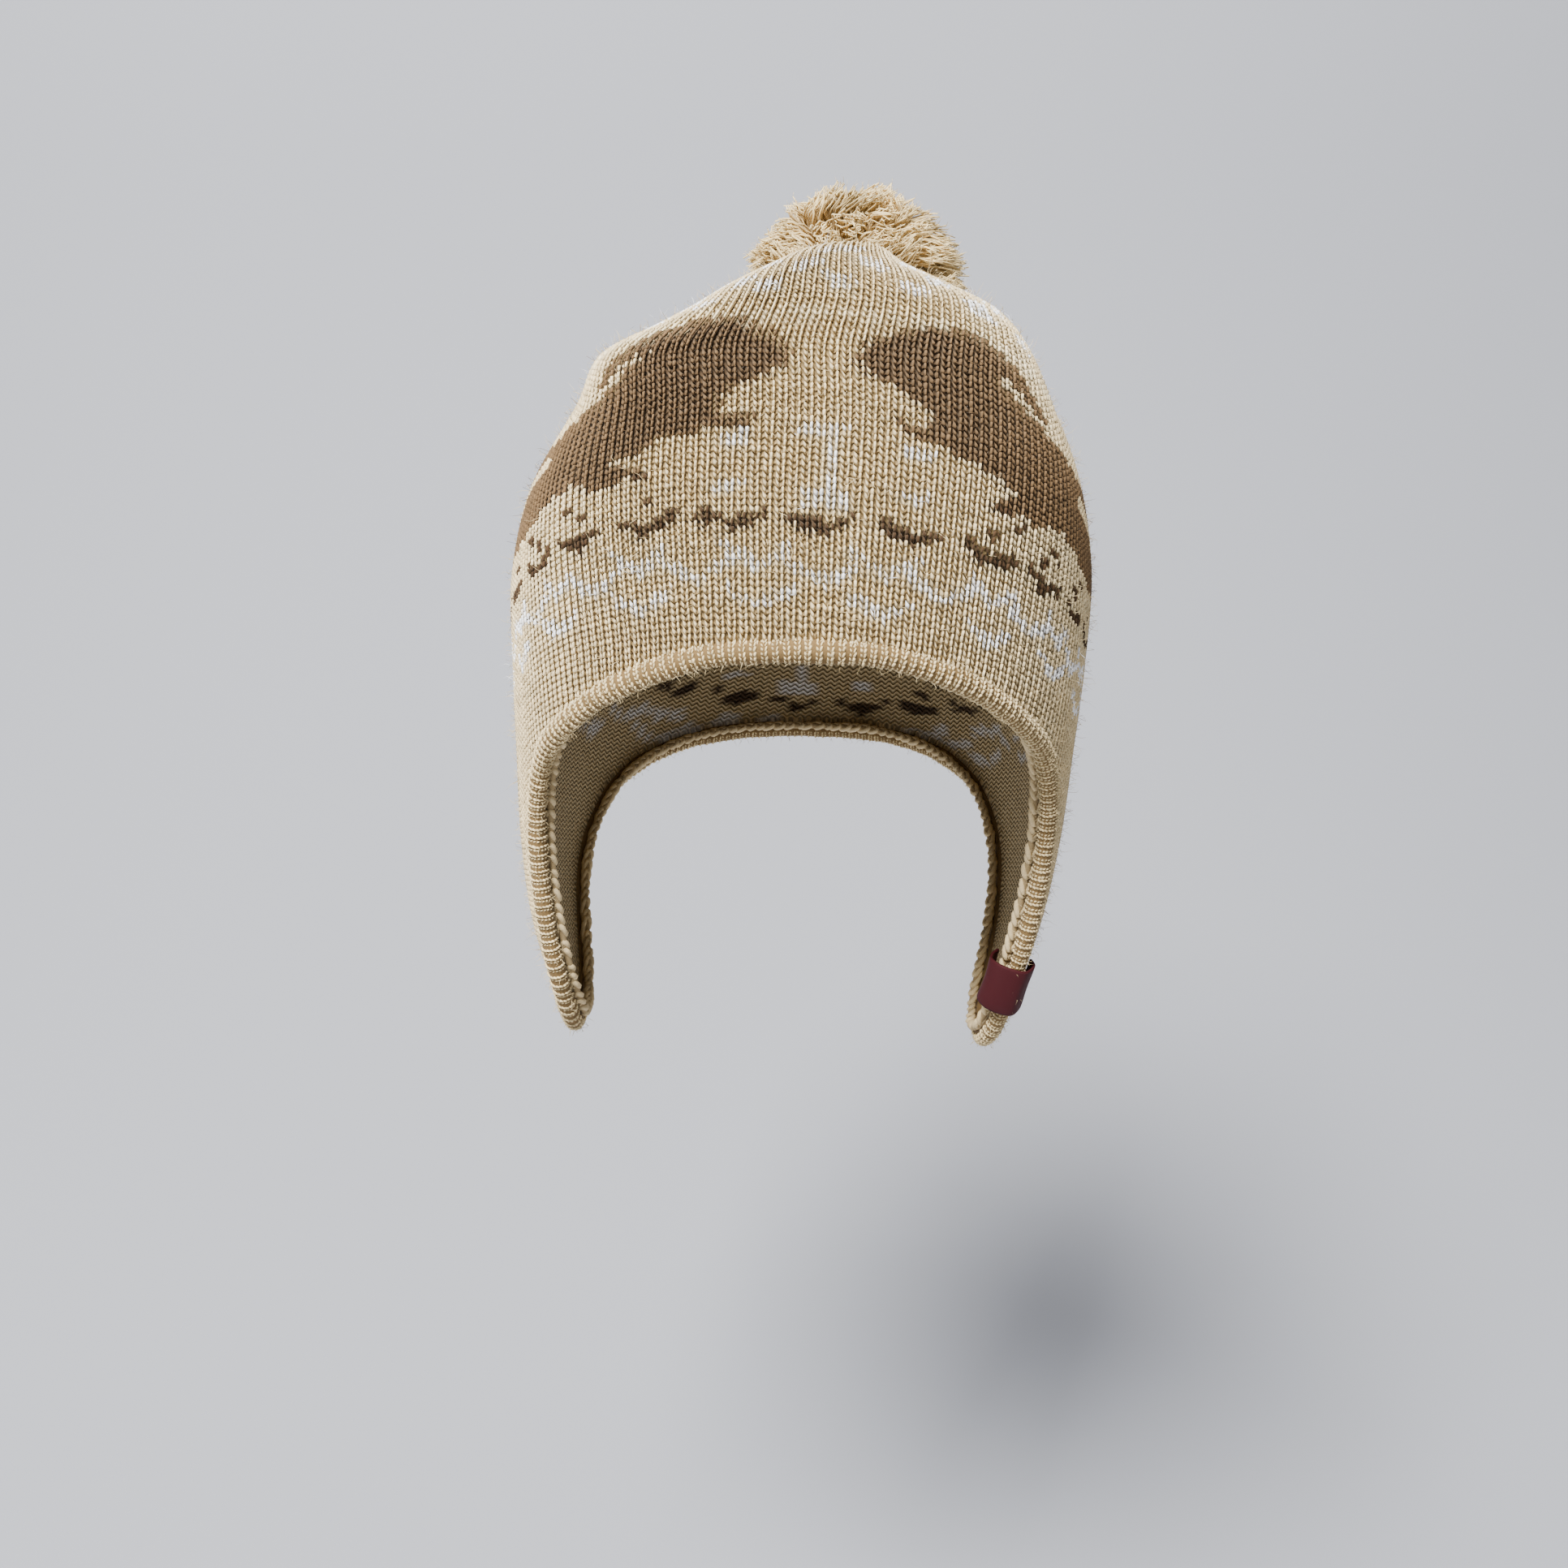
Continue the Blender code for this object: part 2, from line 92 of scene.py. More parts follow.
DOME_OUTLINE = (
    # drop, left, right, front, back, square
    (0.000, -0.134, 0.137, 0.424, -0.440, 2.0),
    (0.005, -0.050, 0.219, 0.545, -0.293, 2.0),
    (0.027, 0.030, 0.261, 0.636, -0.178, 2.2),
    (0.060, 0.110, 0.307, 0.692, -0.042, 2.4),
    (0.119, 0.243, 0.447, 0.747, 0.136, 2.7),
    (0.196, 0.389, 0.615, 0.793, 0.314, 2.9),
    (0.242, 0.487, 0.671, 0.818, 0.398, 2.9),
    (0.302, 0.627, 0.720, 0.848, 0.492, 2.9),
    (0.473, 0.742, 0.820, 0.899, 0.675, 2.7),
    (0.731, 0.912, 0.938, 0.960, 0.838, 2.4),
    (1.000, 0.996, 0.998, 0.993, 0.948, 2.2),
)
SKIRT_OUTLINE = (
    # drop, left, right, front, back, square
    (0.169, 1.010, 0.992, 1.000, 1.000, 2.2),
    (0.329, 1.010, 0.965, 0.990, 1.000, 2.2),
    (0.482, 1.008, 0.936, 0.960, 0.958, 2.2),
    (0.649, 0.978, 0.878, 0.909, 0.900, 2.2),
    (0.815, 0.884, 0.770, 0.848, 0.817, 2.2),
    (1.000, 0.710, 0.570, 0.778, 0.733, 2.2),
)
FRONT_HEM = (
    # angle, fall
    (0.0, 0.000),
    (12.0, 0.012),
    (23.0, 0.060),
    (39.0, 0.175),
    (49.0, 0.275),
    (54.5, 0.390),
    (57.0, 0.550),
    (57.5, 0.720),
    (59.0, 0.870),
    (64.0, 0.965),
    (73.0, 1.000),
)
BACK_HEM = (
    # angle, fall
    (83.0, 0.990),
    (92.0, 0.940),
    (100.0, 0.830),
    (108.0, 0.640),
    (118.0, 0.400),
    (131.0, 0.190),
    (146.0, 0.070),
    (163.0, 0.010),
    (180.0, 0.000),
)


def smooth(knots, rows, places):
    """Read a smooth curve through the rows, one row at each knot, at the given places."""
    knots = np.asarray(knots, float)
    rows = np.asarray(rows, float)
    step = np.diff(knots)[:, None]
    slope = np.diff(rows, axis=0) / step
    inner = (slope[:-1] * step[1:] + slope[1:] * step[:-1]) / (step[:-1] + step[1:])
    tangent = np.vstack([slope[:1], inner, slope[-1:]])
    k = np.clip(np.searchsorted(knots, places, side="right") - 1, 0, len(knots) - 2)
    width = step[k]
    t = ((np.asarray(places) - knots[k]) / width[:, 0])[:, None]
    start = (2 * t**3 - 3 * t**2 + 1) * rows[k] + (t**3 - 2 * t**2 + t) * width * tangent[k]
    end = (3 * t**2 - 2 * t**3) * rows[k + 1] + (t**3 - t**2) * width * tangent[k + 1]
    return start + end


def lengths_along(points, closed=False):
    """How far each point lies along the line through them."""
    if closed:
        points = np.vstack([points, points[:1]])
    steps = np.linalg.norm(np.diff(points, axis=0), axis=1)
    return np.concatenate([[0.0], np.cumsum(steps)])


def unit(vectors):
    """The same directions at length 1."""
    return vectors / np.maximum(np.linalg.norm(vectors, axis=-1, keepdims=True), 1e-12)


OUTLINE_STEPS = 900
HEM_STEPS = 400
HALVINGS = 28
NORMAL_STEP = 0.0003


def outline_table():
    """The outline in metres, close together: drop, left, right, front, back and square."""
    dome = np.array(DOME_OUTLINE)
    skirt = np.array(SKIRT_OUTLINE)
    drops = np.concatenate([dome[:, 0] * DOME_HEIGHT, DOME_HEIGHT + skirt[:, 0] * SKIRT_LENGTH])
    sides = np.vstack([dome[:, 1:5], skirt[:, 1:5]])
    sides = sides * (HALF_WIDTH_LEFT, HALF_WIDTH_RIGHT, HALF_DEPTH_FRONT, HALF_DEPTH_BACK)
    square = np.concatenate([dome[:, 5], skirt[:, 5]])
    rows = np.column_stack([drops, sides, square])
    knots = lengths_along(np.column_stack([drops, sides.mean(axis=1)]))
    return smooth(knots, rows, np.linspace(0.0, knots[-1], OUTLINE_STEPS))


OUTLINE = outline_table()


def outside(points):
    """Above 0 outside the crown's surface, below 0 inside it."""
    drop = HEAD_TO_TOP - points[..., 2]
    left, right, front, back, square = (np.interp(drop, OUTLINE[:, 0], c) for c in OUTLINE.T[1:])
    half_x = np.maximum((right + left) / 2, 1e-6)
    half_y = np.maximum((back + front) / 2, 1e-6)
    across = np.abs(points[..., 0] - (right - left) / 2) / half_x
    along = np.abs(points[..., 1] - (back - front) / 2) / half_y
    inside = across**square + along**square - 1
    return np.where(drop < 0, 1.0 - drop, inside)


def reach(start, direction):
    """The points where rays from inside the crown meet its surface, found by halving."""
    near = np.zeros(np.broadcast(start, direction).shape[:-1])
    far = np.full_like(near, DOME_HEIGHT + HALF_DEPTH_FRONT + HALF_DEPTH_BACK)
    for _ in range(HALVINGS):
        middle = (near + far) / 2
        out = outside(start + direction * middle[..., None]) > 0
        far = np.where(out, middle, far)
        near = np.where(out, near, middle)
    return start + direction * near[..., None]


def outward(points):
    """The surface's outward normals at points on it."""
    sides = [outside(points + axis) - outside(points - axis) for axis in np.eye(3) * NORMAL_STEP]
    return unit(np.stack(sides, axis=-1))


CORE = np.array([AXIS_RIGHT, 0.0, HEAD_TO_TOP - DOME_HEIGHT])
AXIS = unit(np.array([math.tan(TIE_TILT_RIGHT), math.tan(TIE_TILT_BACK), 1.0]))
TO_FRONT = unit(np.array([0.0, -1.0, 0.0]) + AXIS[1] * AXIS)
TO_RIGHT = np.cross(AXIS, TO_FRONT)

# Up to the brow the courses lie square to the axis. Past it they lean in over the lid to the tie.
BROW = 0.0450
LID_REACH = 0.0700


def knit_surface(turn, level):
    """Points on the crown's outer face, by the turn round its axis and the level above the brow."""
    turn, level = np.broadcast_arrays(turn, level)
    lean = math.pi / 2 * (1 - np.clip(level / LID_REACH, 0, 1))
    start = CORE + (BROW + np.minimum(level, 0))[..., None] * AXIS
    aside = np.cos(turn)[..., None] * TO_FRONT + np.sin(turn)[..., None] * TO_RIGHT
    points = reach(start, np.cos(lean)[..., None] * AXIS + np.sin(lean)[..., None] * aside)
    spoke = points - CORE
    radius = np.linalg.norm(spoke, axis=-1)
    from_axis = np.arccos(np.clip((spoke @ AXIS) / radius, -1, 1))
    to_dart = np.abs((turn % (math.pi / 2)) - math.pi / 4) * radius * np.sin(from_axis)
    grows = np.clip(from_axis / DART_START, 0, 1)
    fades = np.clip((DART_END - from_axis) / (DART_END - DART_FADE), 0, 1)
    dip = DART_DEPTH * grows * fades * np.exp(-((to_dart / DART_WIDTH) ** 2))
    return points - spoke * (dip / radius)[..., None]


def half_hem(flap_drop):
    """Angle from the front and drop of one side's hem, from the front centre to the back centre."""
    front = np.array(FRONT_HEM)
    back = np.array(BACK_HEM)
    front[:, 1] = FRONT_HEM_DROP + front[:, 1] * (flap_drop - FRONT_HEM_DROP)
    back[:, 1] = BACK_HEM_DROP + back[:, 1] * (flap_drop - BACK_HEM_DROP)
    rows = np.vstack([front, back])
    rows[:, 0] = np.radians(rows[:, 0])
    knots = lengths_along(rows * (HALF_WIDTH_RIGHT, 1.0))
    return smooth(knots, rows, np.linspace(0.0, knots[-1], HEM_STEPS))


def hem_curve():
    """The knit's lower edge on the outer surface: front centre, right flap, back, left flap."""
    right = half_hem(RIGHT_FLAP_DROP)
    left = half_hem(LEFT_FLAP_DROP)[-2:0:-1] * (-1, 1)
    rows = np.vstack([right, left]) + (OPENING_TURN, 0)
    zero = np.zeros(len(rows))
    start = np.column_stack([zero, zero, HEAD_TO_TOP - rows[:, 1]])
    return reach(start, np.column_stack([np.sin(rows[:, 0]), -np.cos(rows[:, 0]), zero]))


def round_hem(count):
    """Evenly spaced points along the hem, with the cloth's outward face and the way off its edge."""
    curve = hem_curve()
    along = lengths_along(curve, closed=True)
    closed = np.vstack([curve, curve[:1]])
    places = np.arange(count) * along[-1] / count
    stations = np.column_stack([np.interp(places, along, closed[:, i]) for i in range(3)])
    ahead = unit(np.roll(stations, -1, axis=0) - np.roll(stations, 1, axis=0))
    normal = outward(stations)
    normal = unit(normal - (normal * ahead).sum(axis=1)[:, None] * ahead)
    return stations, ahead, normal, np.cross(ahead, normal)


# The gauge. Four panels of wales meet at the darts, and the courses are counted from the hem's
# front centre, so those of the earflaps are below 0.
PANEL_WALES = 52
COURSE = 0.00155
LEAST_WALE = 0.00165
LOWEST_COURSE = -70

# Levels read close together up the front turn its length along the cloth into courses.
FRONT_READINGS = 1500
BELOW_HEM = 0.01

hem = hem_curve()
hem_level = (hem - CORE) @ AXIS - BROW
hem_turn = np.unwrap(np.arctan2((hem - CORE) @ TO_RIGHT, (hem - CORE) @ TO_FRONT))

front_levels = np.linspace(hem_level.min() - BELOW_HEM, LID_REACH, FRONT_READINGS)
front_line = knit_surface(0.0, front_levels)
front_arc = lengths_along(front_line)
front_arc -= np.interp(hem_level[0], front_levels, front_arc)
COURSES = int(front_arc[-1] / COURSE)
courses = np.arange(LOWEST_COURSE, COURSES)
course_levels = np.interp(courses * COURSE, front_arc, front_levels)

# The tube is drawn on a little askew, so its wales turn back as they climb.
SKEW_AT_BROW = math.radians(-3.6)
SKEW_AT_HEM = math.radians(0.4)
skew = np.interp(course_levels, [hem_level[0], 0, LID_REACH], [SKEW_AT_HEM, SKEW_AT_BROW, 0])

# Worn low over the ears, its courses sag beside the face and lie a little higher on the right.
SIDE_SAG = 0.022
RIGHT_LIFT = 0.0030
SAG_ENDS = math.radians(80)


def sagged(turn, level):
    """The level of a course at a turn round the axis, from its level at the front."""
    turn = (turn + math.pi) % (2 * math.pi) - math.pi
    side = np.clip(turn, -SAG_ENDS, SAG_ENDS)
    lift = RIGHT_LIFT * np.sin(turn)
    return level + (SIDE_SAG * (np.cos(side) - 1) + lift) * np.clip(1 - level / LID_REACH, 0, 1)


# Where each wale crosses each course: its turn round the axis, its level, the pitch of the wales
# there, and whether the panel still has it or a dart has taken it in.
PANEL_READINGS = 41
spans = np.radians(np.linspace(-45, 45, PANEL_READINGS))
offsets = np.arange(PANEL_WALES) - (PANEL_WALES - 1) / 2
wale_turns = np.zeros((len(courses), 4 * PANEL_WALES))
wale_kept = np.zeros((len(courses), 4 * PANEL_WALES), bool)
wale_pitch = np.zeros((len(courses), 4 * PANEL_WALES))
wale_levels = np.zeros((len(courses), 4 * PANEL_WALES))
for panel in range(4):
    turns = panel * math.pi / 2 + spans
    arcs = knit_surface(turns[None, :], sagged(turns[None, :], course_levels[:, None]))
    steps = np.linalg.norm(np.diff(arcs, axis=1), axis=2)
    along = np.concatenate([np.zeros((len(courses), 1)), np.cumsum(steps, axis=1)], axis=1)
    wales = slice(panel * PANEL_WALES, (panel + 1) * PANEL_WALES)
    for row, line in enumerate(along):
        pitch = max((line[-1] - line[0]) / PANEL_WALES, LEAST_WALE)
        places = (line[0] + line[-1]) / 2 + offsets * pitch
        wale_turns[row, wales] = np.interp(places, line, turns) + skew[row]
        wale_levels[row, wales] = sagged(wale_turns[row, wales], course_levels[row])
        wale_kept[row, wales] = (places > line[0]) & (places < line[-1])
        wale_pitch[row, wales] = pitch
knit_points = knit_surface(wale_turns, wale_levels)
knit_normals = outward(knit_points)


def above_hem(turn, level):
    """Whether places on the cloth lie above its lower edge, by counting the edges under each."""
    turn = hem_turn[0] + (turn - hem_turn[0]) % (2 * math.pi)
    ends = np.append(hem_turn, hem_turn[0] + 2 * math.pi)[::2]
    heights = np.append(hem_level, hem_level[0])[::2]
    crossings = np.zeros(turn.shape, int)
    for a, b, low, high in zip(ends, ends[1:], heights, heights[1:]):
        if a == b:
            continue
        spans_it = (turn >= min(a, b)) & (turn < max(a, b))
        crossings += spans_it & (level > low + (high - low) * (turn - a) / (b - a))
    return crossings % 2 == 1


# Stitches go on for two courses past the edge, where the band covers them.
INTO_BAND = 2 * COURSE
half_wale = wale_pitch / (HALF_WIDTH_LEFT + HALF_WIDTH_RIGHT)
near_edge = [above_hem(wale_turns + aside * half_wale, wale_levels + INTO_BAND) for aside in (-1, 0, 1)]
stitch_kept = wale_kept & (near_edge[0] | near_edge[1] | near_edge[2])

# The pattern, knitted from a chart that repeats in mirror image: two fish nose to nose at the front
# and two at the back. Wales are counted from the line between the noses, courses from the hem.
BEIGE, BROWN, WHITE, MARK, PALE = range(5)
PATTERN_TURN = 2 * PANEL_WALES
FISH = (
    # wale, course
    (2.2, 42.6),
    (4.5, 46.4),
    (7.5, 48.7),
    (11.0, 49.6),
    (14.5, 49.2),
    (17.5, 47.2),
    (20.0, 44.8),
    (22.2, 42.8),
    (21.0, 41.8),
    (18.5, 43.6),
    (16.0, 44.8),
    (14.2, 44.4),
    (16.0, 43.0),
    (19.0, 41.0),
    (22.5, 39.8),
    (26.5, 39.6),
    (31.0, 39.6),
    (37.0, 41.6),
    (43.0, 42.0),
    (41.0, 39.0),
    (36.0, 37.2),
    (29.5, 36.2),
    (29.5, 34.2),
    (36.0, 34.2),
    (41.0, 31.5),
    (44.0, 26.0),
    (38.0, 24.6),
    (32.0, 24.6),
    (26.5, 26.2),
    (22.0, 26.4),
    (20.5, 24.4),
    (15.2, 24.4),
    (15.2, 26.0),
    (18.4, 27.2),
    (16.2, 28.0),
    (13.4, 29.4),
    (9.5, 30.4),
    (8.6, 31.0),
    (5.4, 31.4),
    (5.4, 32.8),
    (8.6, 33.6),
    (8.2, 35.8),
    (6.6, 37.6),
    (4.6, 39.2),
)
SMILE_HEIGHT = 1.9
SMILES = (
    # every, first wale, lowest course, depth, half width, yarn
    (PANEL_WALES / 7, 0, 15.2, 1.8, 2.8, MARK),
    (10.4, 0, 7.2, 3.0, 3.2, WHITE),
    (10.4, 5.2, 9.2, 3.0, 2.8, WHITE),
    (10.4, 5.2, 3.2, 2.6, 3.0, WHITE),
)
BLOCKS = (
    # inner wale, outer wale, lowest course, highest course
    (0, 2, 30.0, 31.8),
    (0, 2, 19.2, 22),
    (6, 8.6, 28.2, 30.2),
    (6, 8.6, 21.4, 23),
)
STEM_WIDTH = 1.2
STEM_COURSES = (22, 30)
SPOT_WIDTH = 1.2
SPOT_HEIGHT = 1.4
SPOTS = (
    # wale, course
    (14, 19.6),
    (17, 22),
    (15, 24),
    (21, 19.4),
    (23, 21.6),
    (29, 19.5),
    (31, 21.5),
    (36, 19.5),
)
PALE_COURSES = (48.6, 50.4)
DASH_EVERY = 6.5
DASH_HALF_WIDTH = 1.3
DASH_HEIGHT = 3.2
DASHES = (
    # first wale, lowest course
    (0, 54),
    (3, 58.5),
    (1, 63),
)


def inside_outline(outline, across, up):
    """Whether places lie inside a closed outline drawn on the chart."""
    crossings = np.zeros(np.shape(across), int)
    for (a, low), (b, high) in zip(outline, outline[1:] + outline[:1]):
        if a == b:
            continue
        spans_it = (across >= min(a, b)) & (across < max(a, b))
        crossings += spans_it & (up > low + (high - low) * (across - a) / (b - a))
    return crossings % 2 == 1


# The pattern's edges are a little ragged, since stitches of two colours pull each other about.
RAGGED_BY = 0.24
RAGGED = np.random.default_rng(5).normal(0, RAGGED_BY, (2, len(courses), 4 * PANEL_WALES))


def chart(aside, above):
    """The yarn of every stitch, by course and wale, read a little aside from and above its foot."""
    wale = np.arange(4 * PANEL_WALES) - (PANEL_WALES - 1) / 2 + aside
    signed = (wale + PATTERN_TURN) % (2 * PATTERN_TURN) - PATTERN_TURN
    signed, course = np.meshgrid(signed, courses + above)
    wale = np.minimum(np.abs(signed), PATTERN_TURN - np.abs(signed)) + RAGGED[0]
    course = course + RAGGED[1]
    yarn = np.full(wale.shape, BEIGE)
    yarn[inside_outline(FISH, wale, course)] = BROWN

    for every, first, low, depth, half_width, colour in SMILES:
        aside = np.abs((wale - first + every / 2) % every - every / 2)
        up = course - low - aside * depth / half_width
        yarn[(aside <= half_width) & (up >= 0) & (up < SMILE_HEIGHT)] = colour

    def block(inner, outer, low, high, colour):
        yarn[(wale >= inner) & (wale <= outer) & (course >= low) & (course <= high)] = colour

    for inner, outer, low, high in BLOCKS:
        block(inner, outer, low, high, WHITE)
    stem = (np.abs(signed - STEM_WIDTH / 2) <= STEM_WIDTH / 2) | (signed > PATTERN_TURN - STEM_WIDTH)
    yarn[stem & (course >= STEM_COURSES[0]) & (course <= STEM_COURSES[1])] = WHITE
    for inner, low in SPOTS:
        block(inner, inner + SPOT_WIDTH, low, low + SPOT_HEIGHT, MARK)
    yarn[(course >= PALE_COURSES[0]) & (course <= PALE_COURSES[1]) & (yarn == BEIGE)] = PALE
    for first, low in DASHES:
        aside = np.abs((wale - first + DASH_EVERY / 2) % DASH_EVERY - DASH_EVERY / 2)
        yarn[(aside <= DASH_HALF_WIDTH) & (course >= low) & (course <= low + DASH_HEIGHT)] = WHITE
    return yarn


LEFT_LEG_ASIDE = -0.20
RIGHT_LEG_ASIDE = 0.27
LEG_ABOVE = 0.45
left_chart = chart(LEFT_LEG_ASIDE, LEG_ABOVE)
right_chart = chart(RIGHT_LEG_ASIDE, LEG_ABOVE)


def tint(red, green, blue):
    """A colour given as a screen shows it, 0 to 255, as the shader's own linear one."""
    share = np.array([red, green, blue]) / 255
    return np.where(share <= 0.04045, share / 12.92, ((share + 0.055) / 1.055) ** 2.4)


# One row for each yarn of the chart: the yarn itself, and its painted shade, the darker colour seen down
# between its stitches.
YARN_COLOURS = np.array([
    tint(226, 203, 156),
    tint(112, 87, 58),
    tint(255, 255, 255),
    tint(68, 48, 29),
    tint(238, 220, 178),
])
GAP_PAINTED_SHADES = np.array([
    tint(164, 138, 92),
    tint(76, 57, 36),
    tint(176, 156, 116),
    tint(70, 53, 34),
    tint(206, 186, 144),
])


def make_mesh(name, points, triangles, colours):
    """A mesh piece from arrays of points, triangles and a colour for each point."""
    mesh = bpy.data.meshes.new(name)
    mesh.vertices.add(len(points))
    mesh.vertices.foreach_set("co", np.asarray(points, np.float32).ravel())
    mesh.loops.add(3 * len(triangles))
    mesh.loops.foreach_set("vertex_index", np.asarray(triangles, np.int32).ravel())
    mesh.polygons.add(len(triangles))
    mesh.polygons.foreach_set("loop_start", np.arange(len(triangles), dtype=np.int32) * 3)
    mesh.update(calc_edges=True)
    mesh.shade_smooth()
    layer = mesh.color_attributes.new("yarn", "FLOAT_COLOR", "POINT")
    rows = np.column_stack([colours, np.ones(len(points))])
    layer.data.foreach_set("color", rows.astype(np.float32).ravel())
    piece = bpy.data.objects.new(name, mesh)
    bpy.context.scene.collection.objects.link(piece)
    return piece


def yarn_material(name, fuzz, grain, bump):
    """Spun yarn: the colour given to each point, mottled by its fibres, with a soft sheen."""
    material = bpy.data.materials.new(name)
    material.use_nodes = True
    nodes, links = material.node_tree.nodes, material.node_tree.links
    shader = nodes["Principled BSDF"]
    shader.inputs["Roughness"].default_value = 0.88
    shader.inputs["Sheen Weight"].default_value = fuzz
    shader.inputs["Sheen Roughness"].default_value = 0.6
    shader.inputs["Sheen Tint"].default_value = (0.80, 0.62, 0.42, 1)
    shader.inputs["Specular IOR Level"].default_value = 0.2
    colour = nodes.new("ShaderNodeVertexColor")
    colour.layer_name = "yarn"
    place = nodes.new("ShaderNodeTexCoord")
    fibre = nodes.new("ShaderNodeTexNoise")
    fibre.inputs["Scale"].default_value = grain
    fibre.inputs["Detail"].default_value = 3.0
    links.new(place.outputs["Object"], fibre.inputs["Vector"])
    spread = nodes.new("ShaderNodeMapRange")
    spread.inputs["From Min"].default_value = 0.3
    spread.inputs["From Max"].default_value = 0.7
    spread.inputs["To Min"].default_value = 0.84
    spread.inputs["To Max"].default_value = 1.12
    links.new(fibre.outputs["Fac"], spread.inputs["Value"])
    mottled = nodes.new("ShaderNodeVectorMath")
    mottled.operation = "SCALE"
    links.new(colour.outputs["Color"], mottled.inputs[0])
    links.new(spread.outputs["Result"], mottled.inputs["Scale"])
    links.new(mottled.outputs["Vector"], shader.inputs["Base Color"])
    relief = nodes.new("ShaderNodeBump")
    relief.inputs["Strength"].default_value = bump
    relief.inputs["Distance"].default_value = 0.0002
    links.new(fibre.outputs["Fac"], relief.inputs["Height"])
    links.new(relief.outputs["Normal"], shader.inputs["Normal"])
    return material


# The cloth's body: the yarn seen down between the stitches, coloured as painted shade, and the purl side
# that shows inside, its colour partly painted shade. It is one closed shell, a little thinner than the
# whole knit, with its edge in the band.
SHELL_SINK = 0.0008
SHELL_COLUMNS = 4 * PANEL_WALES
UPPER_ROWS = 46
LOWER_ROWS = 40
SHELL_TUCK = 0.0034
LEVEL_ROUNDS = 6
READ_AT_ONCE = 4000
PURL_YARN = 0.45
PURL_PAINTED_SHADE = 0.45
PURL_SWING = 0.30
KNIT_FUZZ = 0.12
KNIT_GRAIN = 2600.0


def yarn_at(turn, level):
    """The chart's yarn at places on the cloth, and the course they lie on."""
    flat = level
    for _ in range(LEVEL_ROUNDS):
        flat = flat + level - sagged(turn, flat)
    row = np.clip(np.rint(np.interp(flat, course_levels, np.arange(len(courses)))), 0, len(courses) - 1)
    row = row.astype(int)
    found = np.zeros(turn.shape, int)
    for start in range(0, len(turn), READ_AT_ONCE):
        part = slice(start, start + READ_AT_ONCE)
        away = (wale_turns[row[part]] - turn[part, None] + math.pi) % (2 * math.pi) - math.pi
        found[part] = np.argmin(np.abs(away), axis=1)
    return right_chart[row, found], np.interp(flat, course_levels, courses)


def cell_triangles(a, b, c, d):
    """Two triangles for each four-cornered cell."""
    return np.concatenate([np.stack([a, b, c], -1).reshape(-1, 3), np.stack([a, c, d], -1).reshape(-1, 3)])


def ring_triangles(rows, columns, first):
    """The triangles between closed rings that follow each other outwards."""
    row, column = np.meshgrid(np.arange(rows - 1), np.arange(columns), indexing="ij")
    a = first + row * columns + column
    b = first + row * columns + (column + 1) % columns
    return cell_triangles(a, b, b + columns, a + columns)


